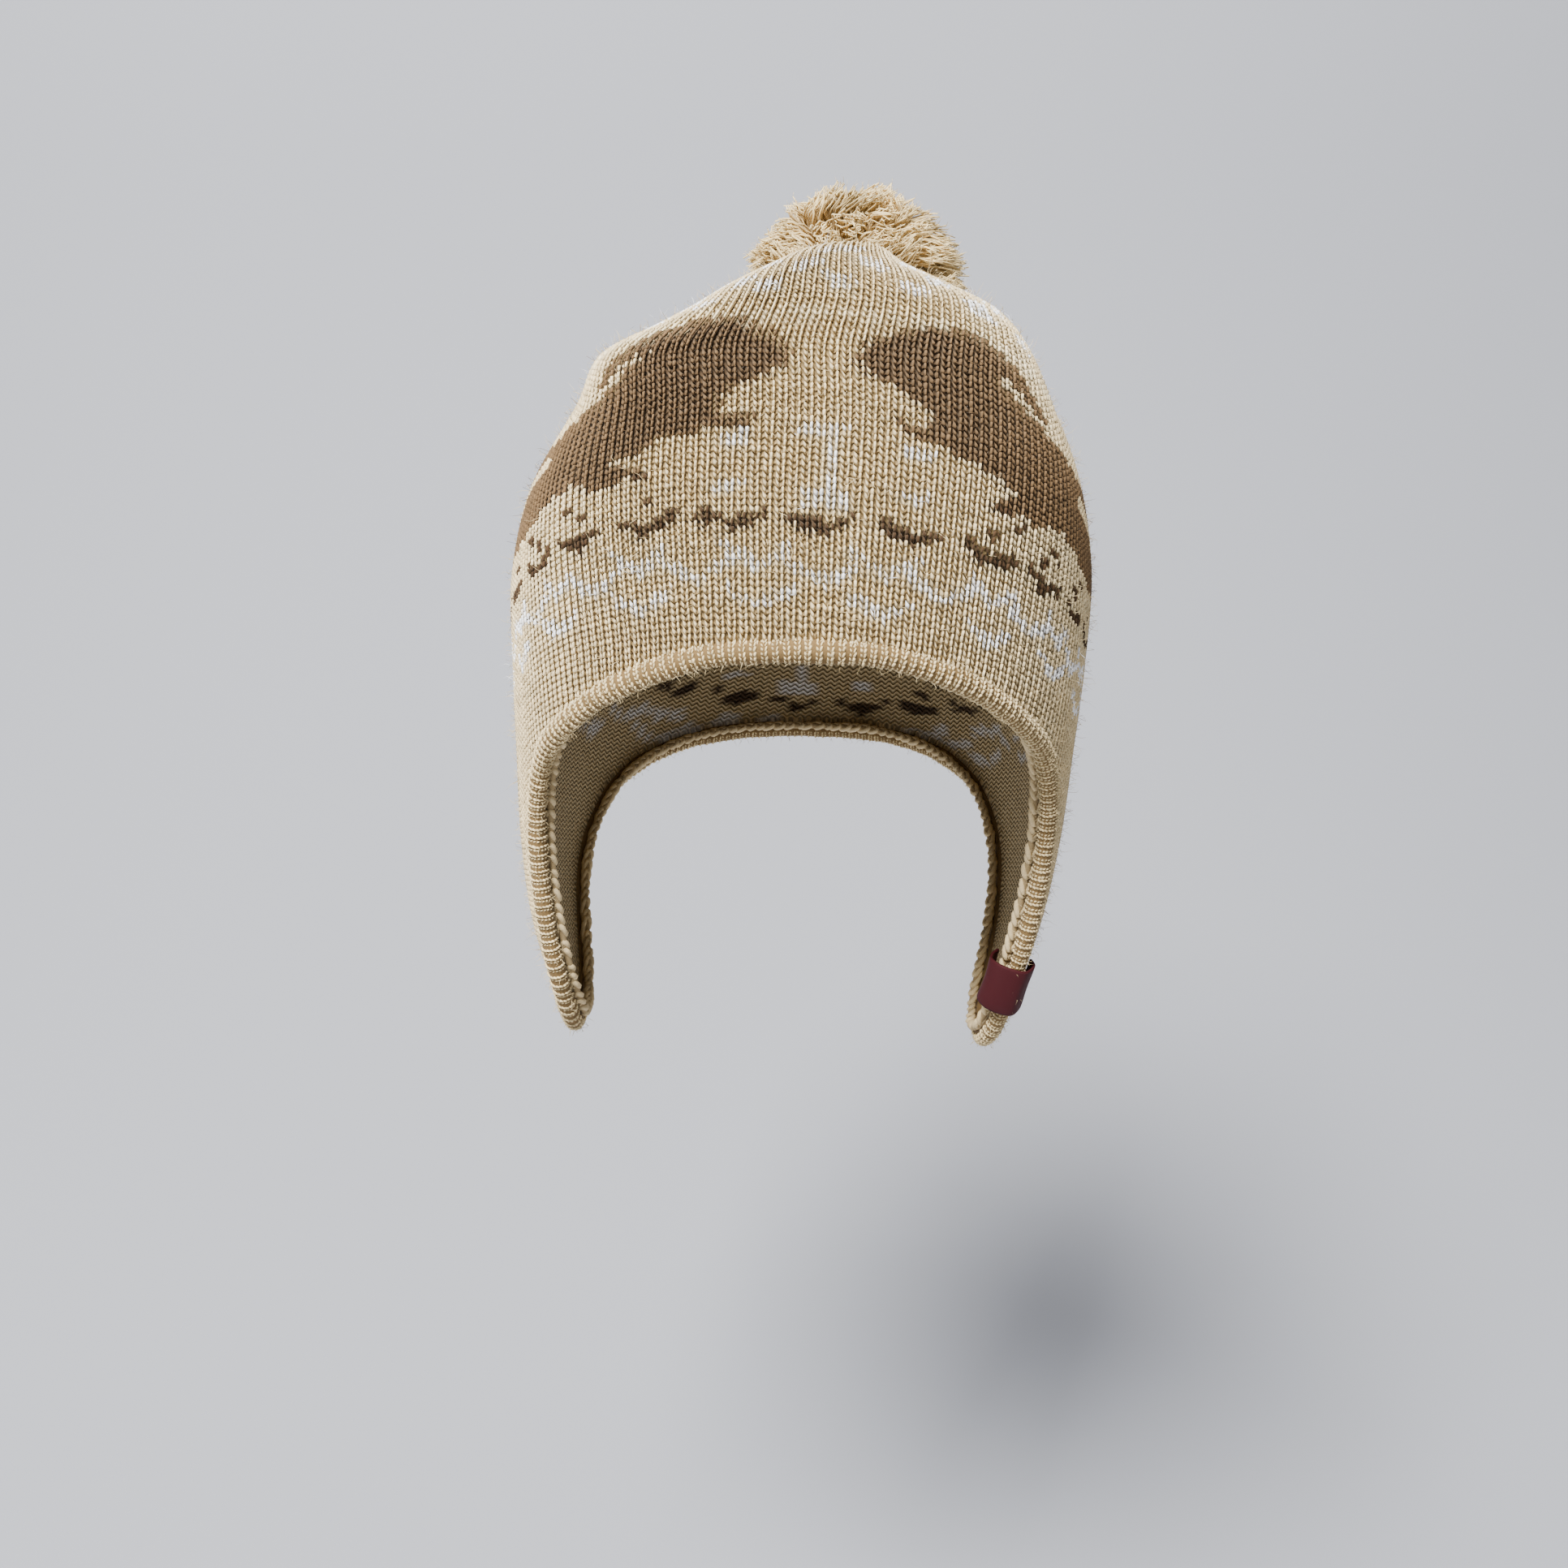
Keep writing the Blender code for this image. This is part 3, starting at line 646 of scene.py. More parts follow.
def make_shell():
    """Rings from the tie down to the edge and into the band, outside and then inside."""
    level = LID_REACH - (np.arange(UPPER_ROWS) + 1) * (LID_REACH + BROW) / UPPER_ROWS
    turns = np.arange(SHELL_COLUMNS) * 2 * math.pi / SHELL_COLUMNS
    edge, _, _, off_edge = round_hem(SHELL_COLUMNS)
    edge_level = (edge - CORE) @ AXIS - BROW
    edge_turn = np.unwrap(np.arctan2((edge - CORE) @ TO_RIGHT, (edge - CORE) @ TO_FRONT))
    grid_turn = [np.tile(turns, (UPPER_ROWS, 1))]
    grid_level = [np.tile(level[:, None], (1, SHELL_COLUMNS))]
    for row in range(1, LOWER_ROWS + 1):
        share = row / LOWER_ROWS
        grid_turn.append((turns + (edge_turn - turns) * share)[None])
        grid_level.append((-BROW + (edge_level + BROW) * share)[None])
    grid_turn = np.vstack(grid_turn)
    grid_level = np.vstack(grid_level)
    points = knit_surface(grid_turn, grid_level)
    normals = outward(points)
    points = np.vstack([points, (points[-1] + off_edge * SHELL_TUCK)[None]])
    normals = np.vstack([normals, normals[-1:]])
    grid_turn = np.vstack([grid_turn, grid_turn[-1:]])
    grid_level = np.vstack([grid_level, grid_level[-1:]])
    tie = knit_surface(0.0, LID_REACH)[None]
    rows = len(points)
    outer = (points - normals * SHELL_SINK).reshape(-1, 3)
    inner = (points - normals * KNIT_WALL).reshape(-1, 3)
    count = rows * SHELL_COLUMNS
    everything = np.vstack([tie - AXIS * SHELL_SINK, outer, tie - AXIS * KNIT_WALL, inner])
    column = np.arange(SHELL_COLUMNS)
    after = (column + 1) % SHELL_COLUMNS
    poles = np.stack([np.zeros_like(column), 1 + after, 1 + column], -1)
    outer_faces = ring_triangles(rows, SHELL_COLUMNS, 1)[:, ::-1]
    inner_poles = poles + 1 + count
    inner_poles[:, 0] = 1 + count
    last = 1 + (rows - 1) * SHELL_COLUMNS
    rim = np.concatenate([
        np.stack([last + column, last + after, last + after + count + 1], -1),
        np.stack([last + column, last + after + count + 1, last + column + count + 1], -1),
    ])
    faces = np.concatenate([
        poles[:, ::-1], outer_faces, inner_poles, outer_faces[:, ::-1] + count + 1, rim[:, ::-1],
    ])
    yarn, course = yarn_at(grid_turn.ravel(), grid_level.ravel())
    wale = grid_turn.ravel() / (2 * math.pi) * SHELL_COLUMNS
    course = np.concatenate([[COURSES], course, [COURSES], course])
    wale = np.concatenate([[0], wale, [0], wale])
    # The purl side mixes each yarn with its painted gap shade, and the outer face is painted shade all
    # over.
    purl = YARN_COLOURS[yarn] * PURL_YARN + GAP_PAINTED_SHADES[yarn] * PURL_PAINTED_SHADE
    colours = np.vstack([GAP_PAINTED_SHADES[:1], GAP_PAINTED_SHADES[yarn], GAP_PAINTED_SHADES[:1], purl])
    piece = make_mesh("crown_shell", everything, faces, colours)
    gauge = np.stack([wale[faces], course[faces]], axis=-1)
    behind = gauge[:, :, 0].max(axis=1) - gauge[:, :, 0].min(axis=1) > SHELL_COLUMNS / 2
    gauge[:, :, 0] += (behind[:, None] & (gauge[:, :, 0] < SHELL_COLUMNS / 2)) * SHELL_COLUMNS
    layer = piece.data.uv_layers.new(name="gauge")
    layer.data.foreach_set("uv", gauge.astype(np.float32).ravel())
    return piece


def purl_material(name):
    """The purl side: bars of yarn that wave across the wales, one bar a course."""
    material = yarn_material(name, KNIT_FUZZ, KNIT_GRAIN, 0.4)
    nodes, links = material.node_tree.nodes, material.node_tree.links
    shader = nodes["Principled BSDF"]
    grid = nodes.new("ShaderNodeUVMap")
    grid.uv_map = "gauge"
    parts = nodes.new("ShaderNodeSeparateXYZ")
    links.new(grid.outputs["UV"], parts.inputs["Vector"])

    def math_node(operation, first, second):
        node = nodes.new("ShaderNodeMath")
        node.operation = operation
        links.new(first, node.inputs[0])
        if isinstance(second, float):
            node.inputs[1].default_value = second
        else:
            links.new(second, node.inputs[1])
        return node.outputs["Value"]

    waves = math_node("SINE", math_node("MULTIPLY", parts.outputs["X"], math.tau), 0.0)
    swing = math_node("MULTIPLY", waves, PURL_SWING)
    shifted = math_node("ADD", parts.outputs["Y"], swing)
    bars = math_node("SINE", math_node("MULTIPLY", shifted, math.tau), 0.0)
    # The colour is darker in the hollows between the bars and lighter on their crowns: painted shade and
    # light that follow the relief.
    shade = nodes.new("ShaderNodeMapRange")
    shade.inputs["From Min"].default_value = -1.0
    shade.inputs["To Min"].default_value = 0.55
    shade.inputs["To Max"].default_value = 1.15
    links.new(bars, shade.inputs["Value"])
    barred = nodes.new("ShaderNodeVectorMath")
    barred.operation = "SCALE"
    links.new(shader.inputs["Base Color"].links[0].from_socket, barred.inputs[0])
    links.new(shade.outputs["Result"], barred.inputs["Scale"])
    links.new(barred.outputs["Vector"], shader.inputs["Base Color"])
    relief = nodes.new("ShaderNodeBump")
    relief.inputs["Strength"].default_value = 0.9
    relief.inputs["Distance"].default_value = 0.0004
    links.new(bars, relief.inputs["Height"])
    links.new(relief.outputs["Normal"], shader.inputs["Normal"])
    return material


knit_yarn = yarn_material("knit_yarn", KNIT_FUZZ, KNIT_GRAIN, 0.5)
shell = make_shell()
shell.data.materials.append(purl_material("purl_side"))
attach(shell, "root")
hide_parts("crown")

# The stitches: every one is a V of two legs of yarn, the left one slim and slanted and the right
# one plump, nearly upright and proud, as the fabric shows. They cover the crown and both flaps,
# panel by panel.
PLUMP_LEG = (
    # along, width, rise
    (0.24, 1.00, 0.85),
    (0.74, 1.00, 1.00),
)
SLIM_LEG = (
    # along, width, rise
    (0.45, 1.00, 1.00),
)
END_SINK = 0.4
# The ends of each leg, tucked under its neighbours, are darkened: painted shade.
END_PAINTED_SHADE = 0.72


def leg_points(foot, head, out, width, rise, rings):
    """The points of each leg: its foot, its three-cornered rings and its head."""
    run = head - foot
    side = unit(np.cross(out, run))
    points = [foot - out * rise[:, None] * END_SINK]
    for along, wide, high in rings:
        middle = foot + run * along
        points.append(middle - side * (width * wide / 2)[:, None])
        points.append(middle + out * (rise * high)[:, None])
        points.append(middle + side * (width * wide / 2)[:, None])
    points.append(head - out * rise[:, None] * END_SINK)
    return np.stack(points, axis=1)


PLUMP_FACES = np.array([
    (0, 1, 2), (0, 2, 3), (0, 3, 1),
    (1, 4, 5), (1, 5, 2), (2, 5, 6), (2, 6, 3), (3, 6, 4), (3, 4, 1),
    (4, 7, 5), (5, 7, 6), (6, 7, 4),
])
SLIM_FACES = np.array([(0, 1, 2), (0, 2, 3), (0, 3, 1), (1, 4, 2), (2, 4, 3), (3, 4, 1)])


def leg_mesh(name, slim, slim_colours, plump, plump_colours):
    """One piece of slim left legs and plump right legs, each with its own colour."""
    points, faces, shades, first = [], [], [], 0
    for legs, plan, colours in ((slim, SLIM_FACES, slim_colours), (plump, PLUMP_FACES, plump_colours)):
        count, size = legs.shape[:2]
        faces.append((plan[None, :, ::-1] + first + np.arange(count)[:, None, None] * size).reshape(-1, 3))
        shade = np.repeat(colours[:, None], size, axis=1)
        # Painted shade on the tucked-in ends.
        shade[:, (0, size - 1)] *= END_PAINTED_SHADE
        points.append(legs.reshape(-1, 3))
        shades.append(shade.reshape(-1, 3))
        first += count * size
    return make_mesh(name, np.concatenate(points), np.concatenate(faces), np.concatenate(shades))


# A leg's foot and head are given by their place across the wale, up the course and off the cloth.
# Its width and rise are shares of the wale's pitch.
LEG_WIDTH = 0.24
LEG_UNEVEN = 0.15
WANDER_ASIDE = 0.026
WANDER_UP = 0.07
LEFT_FOOT = (-0.02, -0.30, -0.0001)
LEFT_HEAD = (-0.37, 1.18, -0.0001)
LEFT_WIDER = 1.45
LEFT_RISE = 0.17
# The slim left legs are coloured darker than the plump right ones: painted shade.
LEFT_LEG_PAINTED_SHADE = 0.90
CROWN_UPRIGHT = 0.25
RIGHT_FOOT_UP = -0.25
RIGHT_HEAD = (0.30, 1.12, 0.0)
RIGHT_WIDER = 1.08
RIGHT_RISE = 0.20


def stitch_legs(base, up, across, out, pitch, random, upright):
    """The slanted left leg and the upright right leg of stitches that stand on their bases."""
    def place(aside, share, lift):
        moved = aside + random.normal(0, WANDER_ASIDE, len(base))
        share = share + random.normal(0, WANDER_UP, len(base))[:, None]
        return base + across * (pitch * moved)[:, None] + up * share + out * lift

    thick = pitch * LEG_WIDTH * np.clip(1 + random.normal(0, LEG_UNEVEN, len(base)), 0.6, 1.5)
    left_foot = place(*LEFT_FOOT)
    left_head = place(*LEFT_HEAD)
    left = leg_points(left_foot, left_head, out, thick * LEFT_WIDER, pitch * LEFT_RISE, SLIM_LEG)
    right_foot = place(upright, RIGHT_FOOT_UP, 0.0)
    right_head = place(*RIGHT_HEAD)
    right = leg_points(right_foot, right_head, out, thick * RIGHT_WIDER, pitch * RIGHT_RISE, PLUMP_LEG)
    return left, right


COURSE_UNEVEN = 0.03
STITCH_UNEVEN = 0.10
PATTERNED_COURSES = (2, 34)
PATTERNED_ABOVE = 48
SHOWS_THROUGH = 0.02
SHOWS_CARRIED = 0.10
SHOWS_UNEVEN = 0.24
SHOWS_MOST = 0.9
SUNK_SHARE = 0.16
SUNK_BY = 0.6
random = np.random.default_rng(11)
course_shade = 1 + random.normal(0, COURSE_UNEVEN, (len(courses), 1))
wale_shade = 1 + random.normal(0, COURSE_UNEVEN, (1, 4 * PANEL_WALES))


def heathered(yarns, found_courses):
    """Each stitch's colour. Pale yarn carried behind a patterned course shows through the beige, and
    some white stitches sink between their beige neighbours."""
    first, last = PATTERNED_COURSES
    carried = ((found_courses > first) & (found_courses < last)) | (found_courses > PATTERNED_ABOVE)
    through = np.clip(random.normal(SHOWS_THROUGH + SHOWS_CARRIED * carried, SHOWS_UNEVEN), 0, SHOWS_MOST)
    through = through * (yarns == BEIGE)
    sunk = (random.random(len(yarns)) < SUNK_SHARE) * SUNK_BY * (yarns == WHITE)
    colours = YARN_COLOURS[yarns] * (1 - through - sunk)[:, None]
    paler = YARN_COLOURS[PALE] * through[:, None]
    return colours + paler + YARN_COLOURS[BEIGE] * sunk[:, None]


for panel, name in enumerate(("front", "right", "back", "left")):
    wales = slice(panel * PANEL_WALES, (panel + 1) * PANEL_WALES)
    base = knit_points[:-1, wales]
    keep = stitch_kept[:-1, wales]
    out = knit_normals[:-1, wales][keep]
    up = (knit_points[1:, wales] - base)[keep]
    aside = np.gradient(knit_points, axis=1)[:-1, wales][keep]
    across = unit(aside - (aside * out).sum(axis=1)[:, None] * out)
    pitch = wale_pitch[:-1, wales][keep]
    left, right = stitch_legs(base[keep], up, across, out, pitch, random, CROWN_UPRIGHT)
    shades = (course_shade * wale_shade)[:-1, wales][keep][:, None]
    shades = shades * (1 + random.normal(0, STITCH_UNEVEN, shades.shape))
    found_courses = np.broadcast_to(courses[:-1, None], keep.shape)[keep]
    # The left legs carry painted shade.
    left_yarn = heathered(left_chart[:-1, wales][keep], found_courses) * shades * LEFT_LEG_PAINTED_SHADE
    right_yarn = heathered(right_chart[:-1, wales][keep], found_courses) * shades
    piece = leg_mesh("knit_" + name, left, left_yarn, right, right_yarn)
    piece.data.materials.append(knit_yarn)
    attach(piece, "root")
    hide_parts("crown")

# The edge band: a strip of the same knit folded over the raw edge and sewn down all round, so it is
# a soft roll whose own wales run across it, from the crown's edge over the outside and underneath.
BAND_THICKNESS = 0.0060
BAND_HEIGHT = 0.0070
GAP = 0.0003
BAND_RIBS = 290
BAND_COURSES = 11
BAND_FROM = math.radians(-10)
BAND_TO = math.radians(250)
BAND_INSET = 0.0006
BAND_UPRIGHT = 0.10
BAND_UNEVEN = 0.13
# The band's slim left legs are coloured darker than its right ones: painted shade.
BAND_LEFT_PAINTED_SHADE = 0.92
SECTION_SIDES = 12
BAND_SWELLS = (
    # share of the section, waves round the hat, start
    (0.035, 17, 1.0),
    (0.030, 41, 0.0),
    (0.020, 73, 2.0),
)


def band_round(count):
    """Places along the band's middle, its ahead, outward and off-the-edge directions, and how plump."""
    stations, ahead, normal, down = round_hem(count)
    round_hat = np.arange(count) * 2 * math.pi / count
    plump = np.ones(count)
    for size, waves, start in BAND_SWELLS:
        plump = plump + size * np.sin(round_hat * waves + start)
    return stations - normal * KNIT_WALL / 2 + down * (GAP + BAND_HEIGHT / 2), ahead, normal, down, plump


def band_place(middle, normal, down, plump, turn, inset):
    """Points round the band's section: at turn 0 towards the crown, a quarter on outwards."""
    across = (BAND_THICKNESS / 2 - inset) * plump * np.sin(turn)
    along = (BAND_HEIGHT / 2 - inset) * plump * np.cos(turn)
    return middle + normal * across[..., None] - down * along[..., None]


def tube_triangles(count, sides):
    """The triangles of a closed tube of rings."""
    ring, side = np.meshgrid(np.arange(count), np.arange(sides), indexing="ij")
    a = ring * sides + side
    b = ring * sides + (side + 1) % sides
    c = ((ring + 1) % count) * sides + (side + 1) % sides
    d = ((ring + 1) % count) * sides + side
    return cell_triangles(a, b, c, d)


BAND_COLOUR = tint(224, 202, 154)
# The roll under the band's stitches is coloured as painted shade, dark where it shows between them.
BAND_GAP_PAINTED_SHADE = tint(116, 92, 56)
middle, ahead, normal, down, plump = band_round(BAND_RIBS)
section = np.arange(SECTION_SIDES) * 2 * math.pi / SECTION_SIDES
core = band_place(
    middle[:, None], normal[:, None], down[:, None], plump[:, None], section[None, :], BAND_INSET
)
# The band's core, in painted shade.
roll = make_mesh(
    "band_roll",
    core.reshape(-1, 3),
    tube_triangles(BAND_RIBS, SECTION_SIDES),
    np.tile(BAND_GAP_PAINTED_SHADE, (BAND_RIBS * SECTION_SIDES, 1)),
)
feet, heads, outs, aheads = [], [], [], []
for course in range(BAND_COURSES):
    low = BAND_FROM + (BAND_TO - BAND_FROM) * (course + 1) / BAND_COURSES
    high = BAND_FROM + (BAND_TO - BAND_FROM) * course / BAND_COURSES
    foot = band_place(middle, normal, down, plump, np.full(BAND_RIBS, low), BAND_INSET)
    head = band_place(middle, normal, down, plump, np.full(BAND_RIBS, high), BAND_INSET)
    centre_turn = (low + high) / 2
    feet.append(foot)
    heads.append(head - foot)
    outs.append(unit(normal * math.sin(centre_turn) - down * math.cos(centre_turn)))
    aheads.append(ahead)
foot = np.concatenate(feet)
rib_pitch = np.full(len(foot), lengths_along(middle, closed=True)[-1] / BAND_RIBS)
up, across, out = np.concatenate(heads), np.concatenate(aheads), np.concatenate(outs)
left, right = stitch_legs(foot, up, across, out, rib_pitch, random, BAND_UPRIGHT)
shades = (1 + random.normal(0, BAND_UNEVEN, len(foot)))[:, None] * BAND_COLOUR
band_knit = leg_mesh("band_knit", left, shades * BAND_LEFT_PAINTED_SHADE, right, shades)
for piece in (roll, band_knit):
    piece.data.materials.append(knit_yarn)
    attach(piece, "root")
    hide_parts("edge_binding")

# The overlocked seam inside the band: the raw edges of crown and band held in a chain of looper
# yarn, seen as slanting loops side by side on the inner face of the flaps.
SEAM_DIAMETER = 0.0032
SEAM_RISE = 0.0010
SEAM_LOOPS = 206
LOOP_STEPS = 10
LOOP_SIDES = 5
LOOP_YARN = 0.00088
SEAM_SINK = 0.0010
SEAM_CORE_INSET = 0.0006
LOOP_INSET = 0.0008
LOOP_LEAN = 0.85
LOOP_TURN = 0.8
LEAN_UNEVEN = 0.35
PITCH_UNEVEN = 0.18
SIZE_UNEVEN = 0.00020
SHADE_UNEVEN = 0.10
SEAM_COLOUR = tint(206, 184, 140)
# The seam's core is a darker copy of its yarn, painted shade seen between the loops.
SEAM_GAP_PAINTED_SHADE = tint(156, 134, 96)
seam_aside = BAND_THICKNESS / 2 + GAP + SEAM_DIAMETER / 2 - SEAM_SINK
seam_middle = middle - normal * seam_aside - down * SEAM_RISE
spokes = np.cos(section)[None, :, None] * normal[:, None] + np.sin(section)[None, :, None] * down[:, None]
# The seam's core, in painted shade.
seam_roll = make_mesh(
    "seam_core",
    (seam_middle[:, None] + spokes * (SEAM_DIAMETER / 2 - SEAM_CORE_INSET)).reshape(-1, 3),
    tube_triangles(BAND_RIBS, SECTION_SIDES),
    np.tile(SEAM_GAP_PAINTED_SHADE, (BAND_RIBS * SECTION_SIDES, 1)),
)


def along_hem(rows, places):
    """Rows of round_hem read between its stations, at places counted in stations."""
    low = np.floor(places).astype(int) % len(rows)
    share = (places - np.floor(places))[:, None]
    return rows[low] * (1 - share) + rows[(low + 1) % len(rows)] * share


loop_points = SEAM_LOOPS * LOOP_STEPS
step = np.arange(loop_points)
wind = step * 2 * math.pi / LOOP_STEPS

# The loops vary slowly in lean, size and spacing. The unevenness dies away where the seam's ends meet.
uneven = np.repeat(random.normal(0, 1, SEAM_LOOPS + 2), LOOP_STEPS)
uneven = np.convolve(uneven, np.ones(LOOP_STEPS) / LOOP_STEPS)[LOOP_STEPS : LOOP_STEPS + loop_points]
uneven = uneven * np.sin(np.linspace(0, math.pi, loop_points)) ** 0.1
lean = LOOP_LEAN * (1 + LEAN_UNEVEN * uneven) * np.sin(wind + LOOP_TURN)
places = step * BAND_RIBS / loop_points + lean + PITCH_UNEVEN * np.roll(uneven, 3)
radius = SEAM_DIAMETER / 2 - LOOP_INSET + SIZE_UNEVEN * uneven
yarn_line = along_hem(seam_middle, places)
yarn_line = yarn_line + along_hem(normal, places) * (np.cos(wind) * radius)[:, None]
yarn_line = yarn_line + along_hem(down, places) * (np.sin(wind) * radius)[:, None]
forward = unit(np.roll(yarn_line, -1, axis=0) - np.roll(yarn_line, 1, axis=0))
away = unit(yarn_line - along_hem(seam_middle, places))
sideways = np.cross(forward, away)
turn = np.arange(LOOP_SIDES) * 2 * math.pi / LOOP_SIDES
rings = yarn_line[:, None] + LOOP_YARN * (
    np.cos(turn)[None, :, None] * away[:, None] + np.sin(turn)[None, :, None] * sideways[:, None]
)
seam_loops = make_mesh(
    "seam_loops",
    rings.reshape(-1, 3),
    tube_triangles(loop_points, LOOP_SIDES),
    np.repeat(SEAM_COLOUR * (1 + SHADE_UNEVEN * np.roll(uneven, 7))[:, None], LOOP_SIDES, axis=0),
)
for piece in (seam_roll, seam_loops):
    piece.data.materials.append(knit_yarn)
    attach(piece, "root")
    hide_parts("seam_roll")

# The label: a short strip of dark red woven tape folded round the band and the seam on the front
# edge of the right flap, and caught in the seam. Its face is bare.
LABEL_DROP = 0.1982
LABEL_LENGTH = 0.0135
LABEL_THICKNESS = 0.0007
LABEL_SLACK = 0.0003
LABEL_BOW = 0.02
LABEL_ROWS = 24
LABEL_STEPS = 60
LABEL_PATH = (
    # out, down
    (0.72, -1.08),
    (0.98, -0.62),
    (1.00, 0.10),
    (0.78, 0.78),
    (0.20, 1.04),
    (-0.45, 1.02),
    (-0.90, 0.66),
    (-1.00, -0.02),
    (-0.88, -0.80),
)
LABEL_COLOUR = tint(62, 3, 11)
lowest = np.argmin(middle[: BAND_RIBS // 2, 2])
edge, _, edge_normal, edge_down = round_hem(BAND_RIBS)
label_middle = np.interp(LABEL_DROP, HEAD_TO_TOP - edge[: lowest + 1, 2], np.arange(lowest + 1))
each_way = LABEL_LENGTH / 2 / rib_pitch[0]
label_places = label_middle + np.linspace(-each_way, each_way, LABEL_ROWS + 1)
label_out = along_hem(edge_normal, label_places)
label_down = along_hem(edge_down, label_places)
label_centre = along_hem(middle, label_places) - label_out * (GAP + SEAM_DIAMETER) / 2
half_out = (BAND_THICKNESS + GAP + SEAM_DIAMETER) / 2 + LABEL_SLACK + LABEL_THICKNESS
half_down = BAND_HEIGHT / 2 + LABEL_SLACK + LABEL_THICKNESS
path = np.array(LABEL_PATH)
knots = lengths_along(path)
path = smooth(knots, path, np.linspace(0, knots[-1], LABEL_STEPS + 1)) * (half_out, half_down)
bow = (1 - LABEL_BOW * np.cos(np.linspace(-math.pi, math.pi, LABEL_ROWS + 1)))[:, None, None]
strip = label_centre[:, None] + bow * (
    path[None, :, :1] * label_out[:, None] + path[None, :, 1:] * label_down[:, None]
)
row, column = np.meshgrid(np.arange(LABEL_ROWS), np.arange(LABEL_STEPS), indexing="ij")
corner = row * (LABEL_STEPS + 1) + column
next_row = corner + LABEL_STEPS + 1
strip_faces = cell_triangles(corner, corner + 1, next_row + 1, next_row)
strip = strip.reshape(-1, 3)
label = make_mesh("red_label", strip, strip_faces, np.tile(LABEL_COLOUR, (len(strip), 1)))
weave = label.data.uv_layers.new(name="weave")
across_tape, along_tape = np.linspace(0, 1, LABEL_ROWS + 1), np.linspace(0, 1, LABEL_STEPS + 1)
share = np.stack(np.meshgrid(across_tape, along_tape, indexing="ij"), -1).reshape(-1, 2)
weave.data.foreach_set("uv", share[strip_faces.ravel()].astype(np.float32).ravel())
tape = label.modifiers.new("tape", "SOLIDIFY")
tape.thickness = LABEL_THICKNESS
tape.offset = 0.0
bpy.context.view_layer.objects.active = label
bpy.ops.object.modifier_apply(modifier="tape")


def tape_material(name):
    """Satin-woven tape: fine ribs across it, with a slight gloss."""
    material = bpy.data.materials.new(name)
    material.use_nodes = True
    nodes, links = material.node_tree.nodes, material.node_tree.links
    shader = nodes["Principled BSDF"]
    shader.inputs["Roughness"].default_value = 0.7
    shader.inputs["Specular IOR Level"].default_value = 0.25
    colour = nodes.new("ShaderNodeVertexColor")
    colour.layer_name = "yarn"
    grid = nodes.new("ShaderNodeUVMap")
    grid.uv_map = "weave"
    ribs = nodes.new("ShaderNodeTexWave")
    ribs.inputs["Scale"].default_value = 22.0
    ribs.inputs["Distortion"].default_value = 0.4
    links.new(grid.outputs["UV"], ribs.inputs["Vector"])
    # The colour is lighter on the ribs and darker between them: painted light and shade that follow the
    # relief.
    shade = nodes.new("ShaderNodeMapRange")
    shade.inputs["To Min"].default_value = 0.8
    shade.inputs["To Max"].default_value = 1.1
    links.new(ribs.outputs["Fac"], shade.inputs["Value"])
    mixed = nodes.new("ShaderNodeVectorMath")
    mixed.operation = "SCALE"
    links.new(colour.outputs["Color"], mixed.inputs[0])
    links.new(shade.outputs["Result"], mixed.inputs["Scale"])
    links.new(mixed.outputs["Vector"], shader.inputs["Base Color"])
    relief = nodes.new("ShaderNodeBump")
    relief.inputs["Strength"].default_value = 0.5
    relief.inputs["Distance"].default_value = 0.0001
    links.new(ribs.outputs["Fac"], relief.inputs["Height"])
    links.new(relief.outputs["Normal"], shader.inputs["Normal"])
    return material


label.data.materials.append(tape_material("red_tape"))
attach(label, "root")
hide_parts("label")

# The pompom: lengths of soft plied yarn tied in the middle and cut to a ball, so its surface is
# short curly ends in clumps. It is sewn on behind the crown's tie and sags back and down.
POMPOM_WIDTH = 0.0640
POMPOM_DEPTH = 0.0600
POMPOM_HEIGHT = 0.0580
POMPOM_BACK = 0.0280
POMPOM_RIGHT = 0.0040
POMPOM_UP = 0.0115
STRANDS = 4600
STRAND_STEPS = 7
STRAND_SIDES = 3
STRAND_YARN = 0.00034
STRAND_ROOT = 0.55
STRAND_REACH = 1.03
STRAND_UNEVEN = 0.035
STRAND_SPREAD = 0.07
FEWEST_TWISTS = 0.7
MOST_TWISTS = 1.6
THICKNESS_UNEVEN = 0.15
STRAND_TAPER = ((0, 0.6, 1), (0.8, 1.15, 0.62))
CLUMPS = 190
CLUMP_PULL = 0.45
CLUMP_UNEVEN = 0.08
CLUMP_DROOP = (0.5, -0.1, -0.5)
STRAND_SHADES = 0.06
POMPOM_SAG = (0.0006, 0.0, -0.0010)
POMPOM_ASIDE = (0.0024, 0.0, 0.0)
POMPOM_HEART = 0.62
CURL = 0.0013
TIP_BEND = 0.0046
POMPOM_LIT = tint(238, 214, 160)
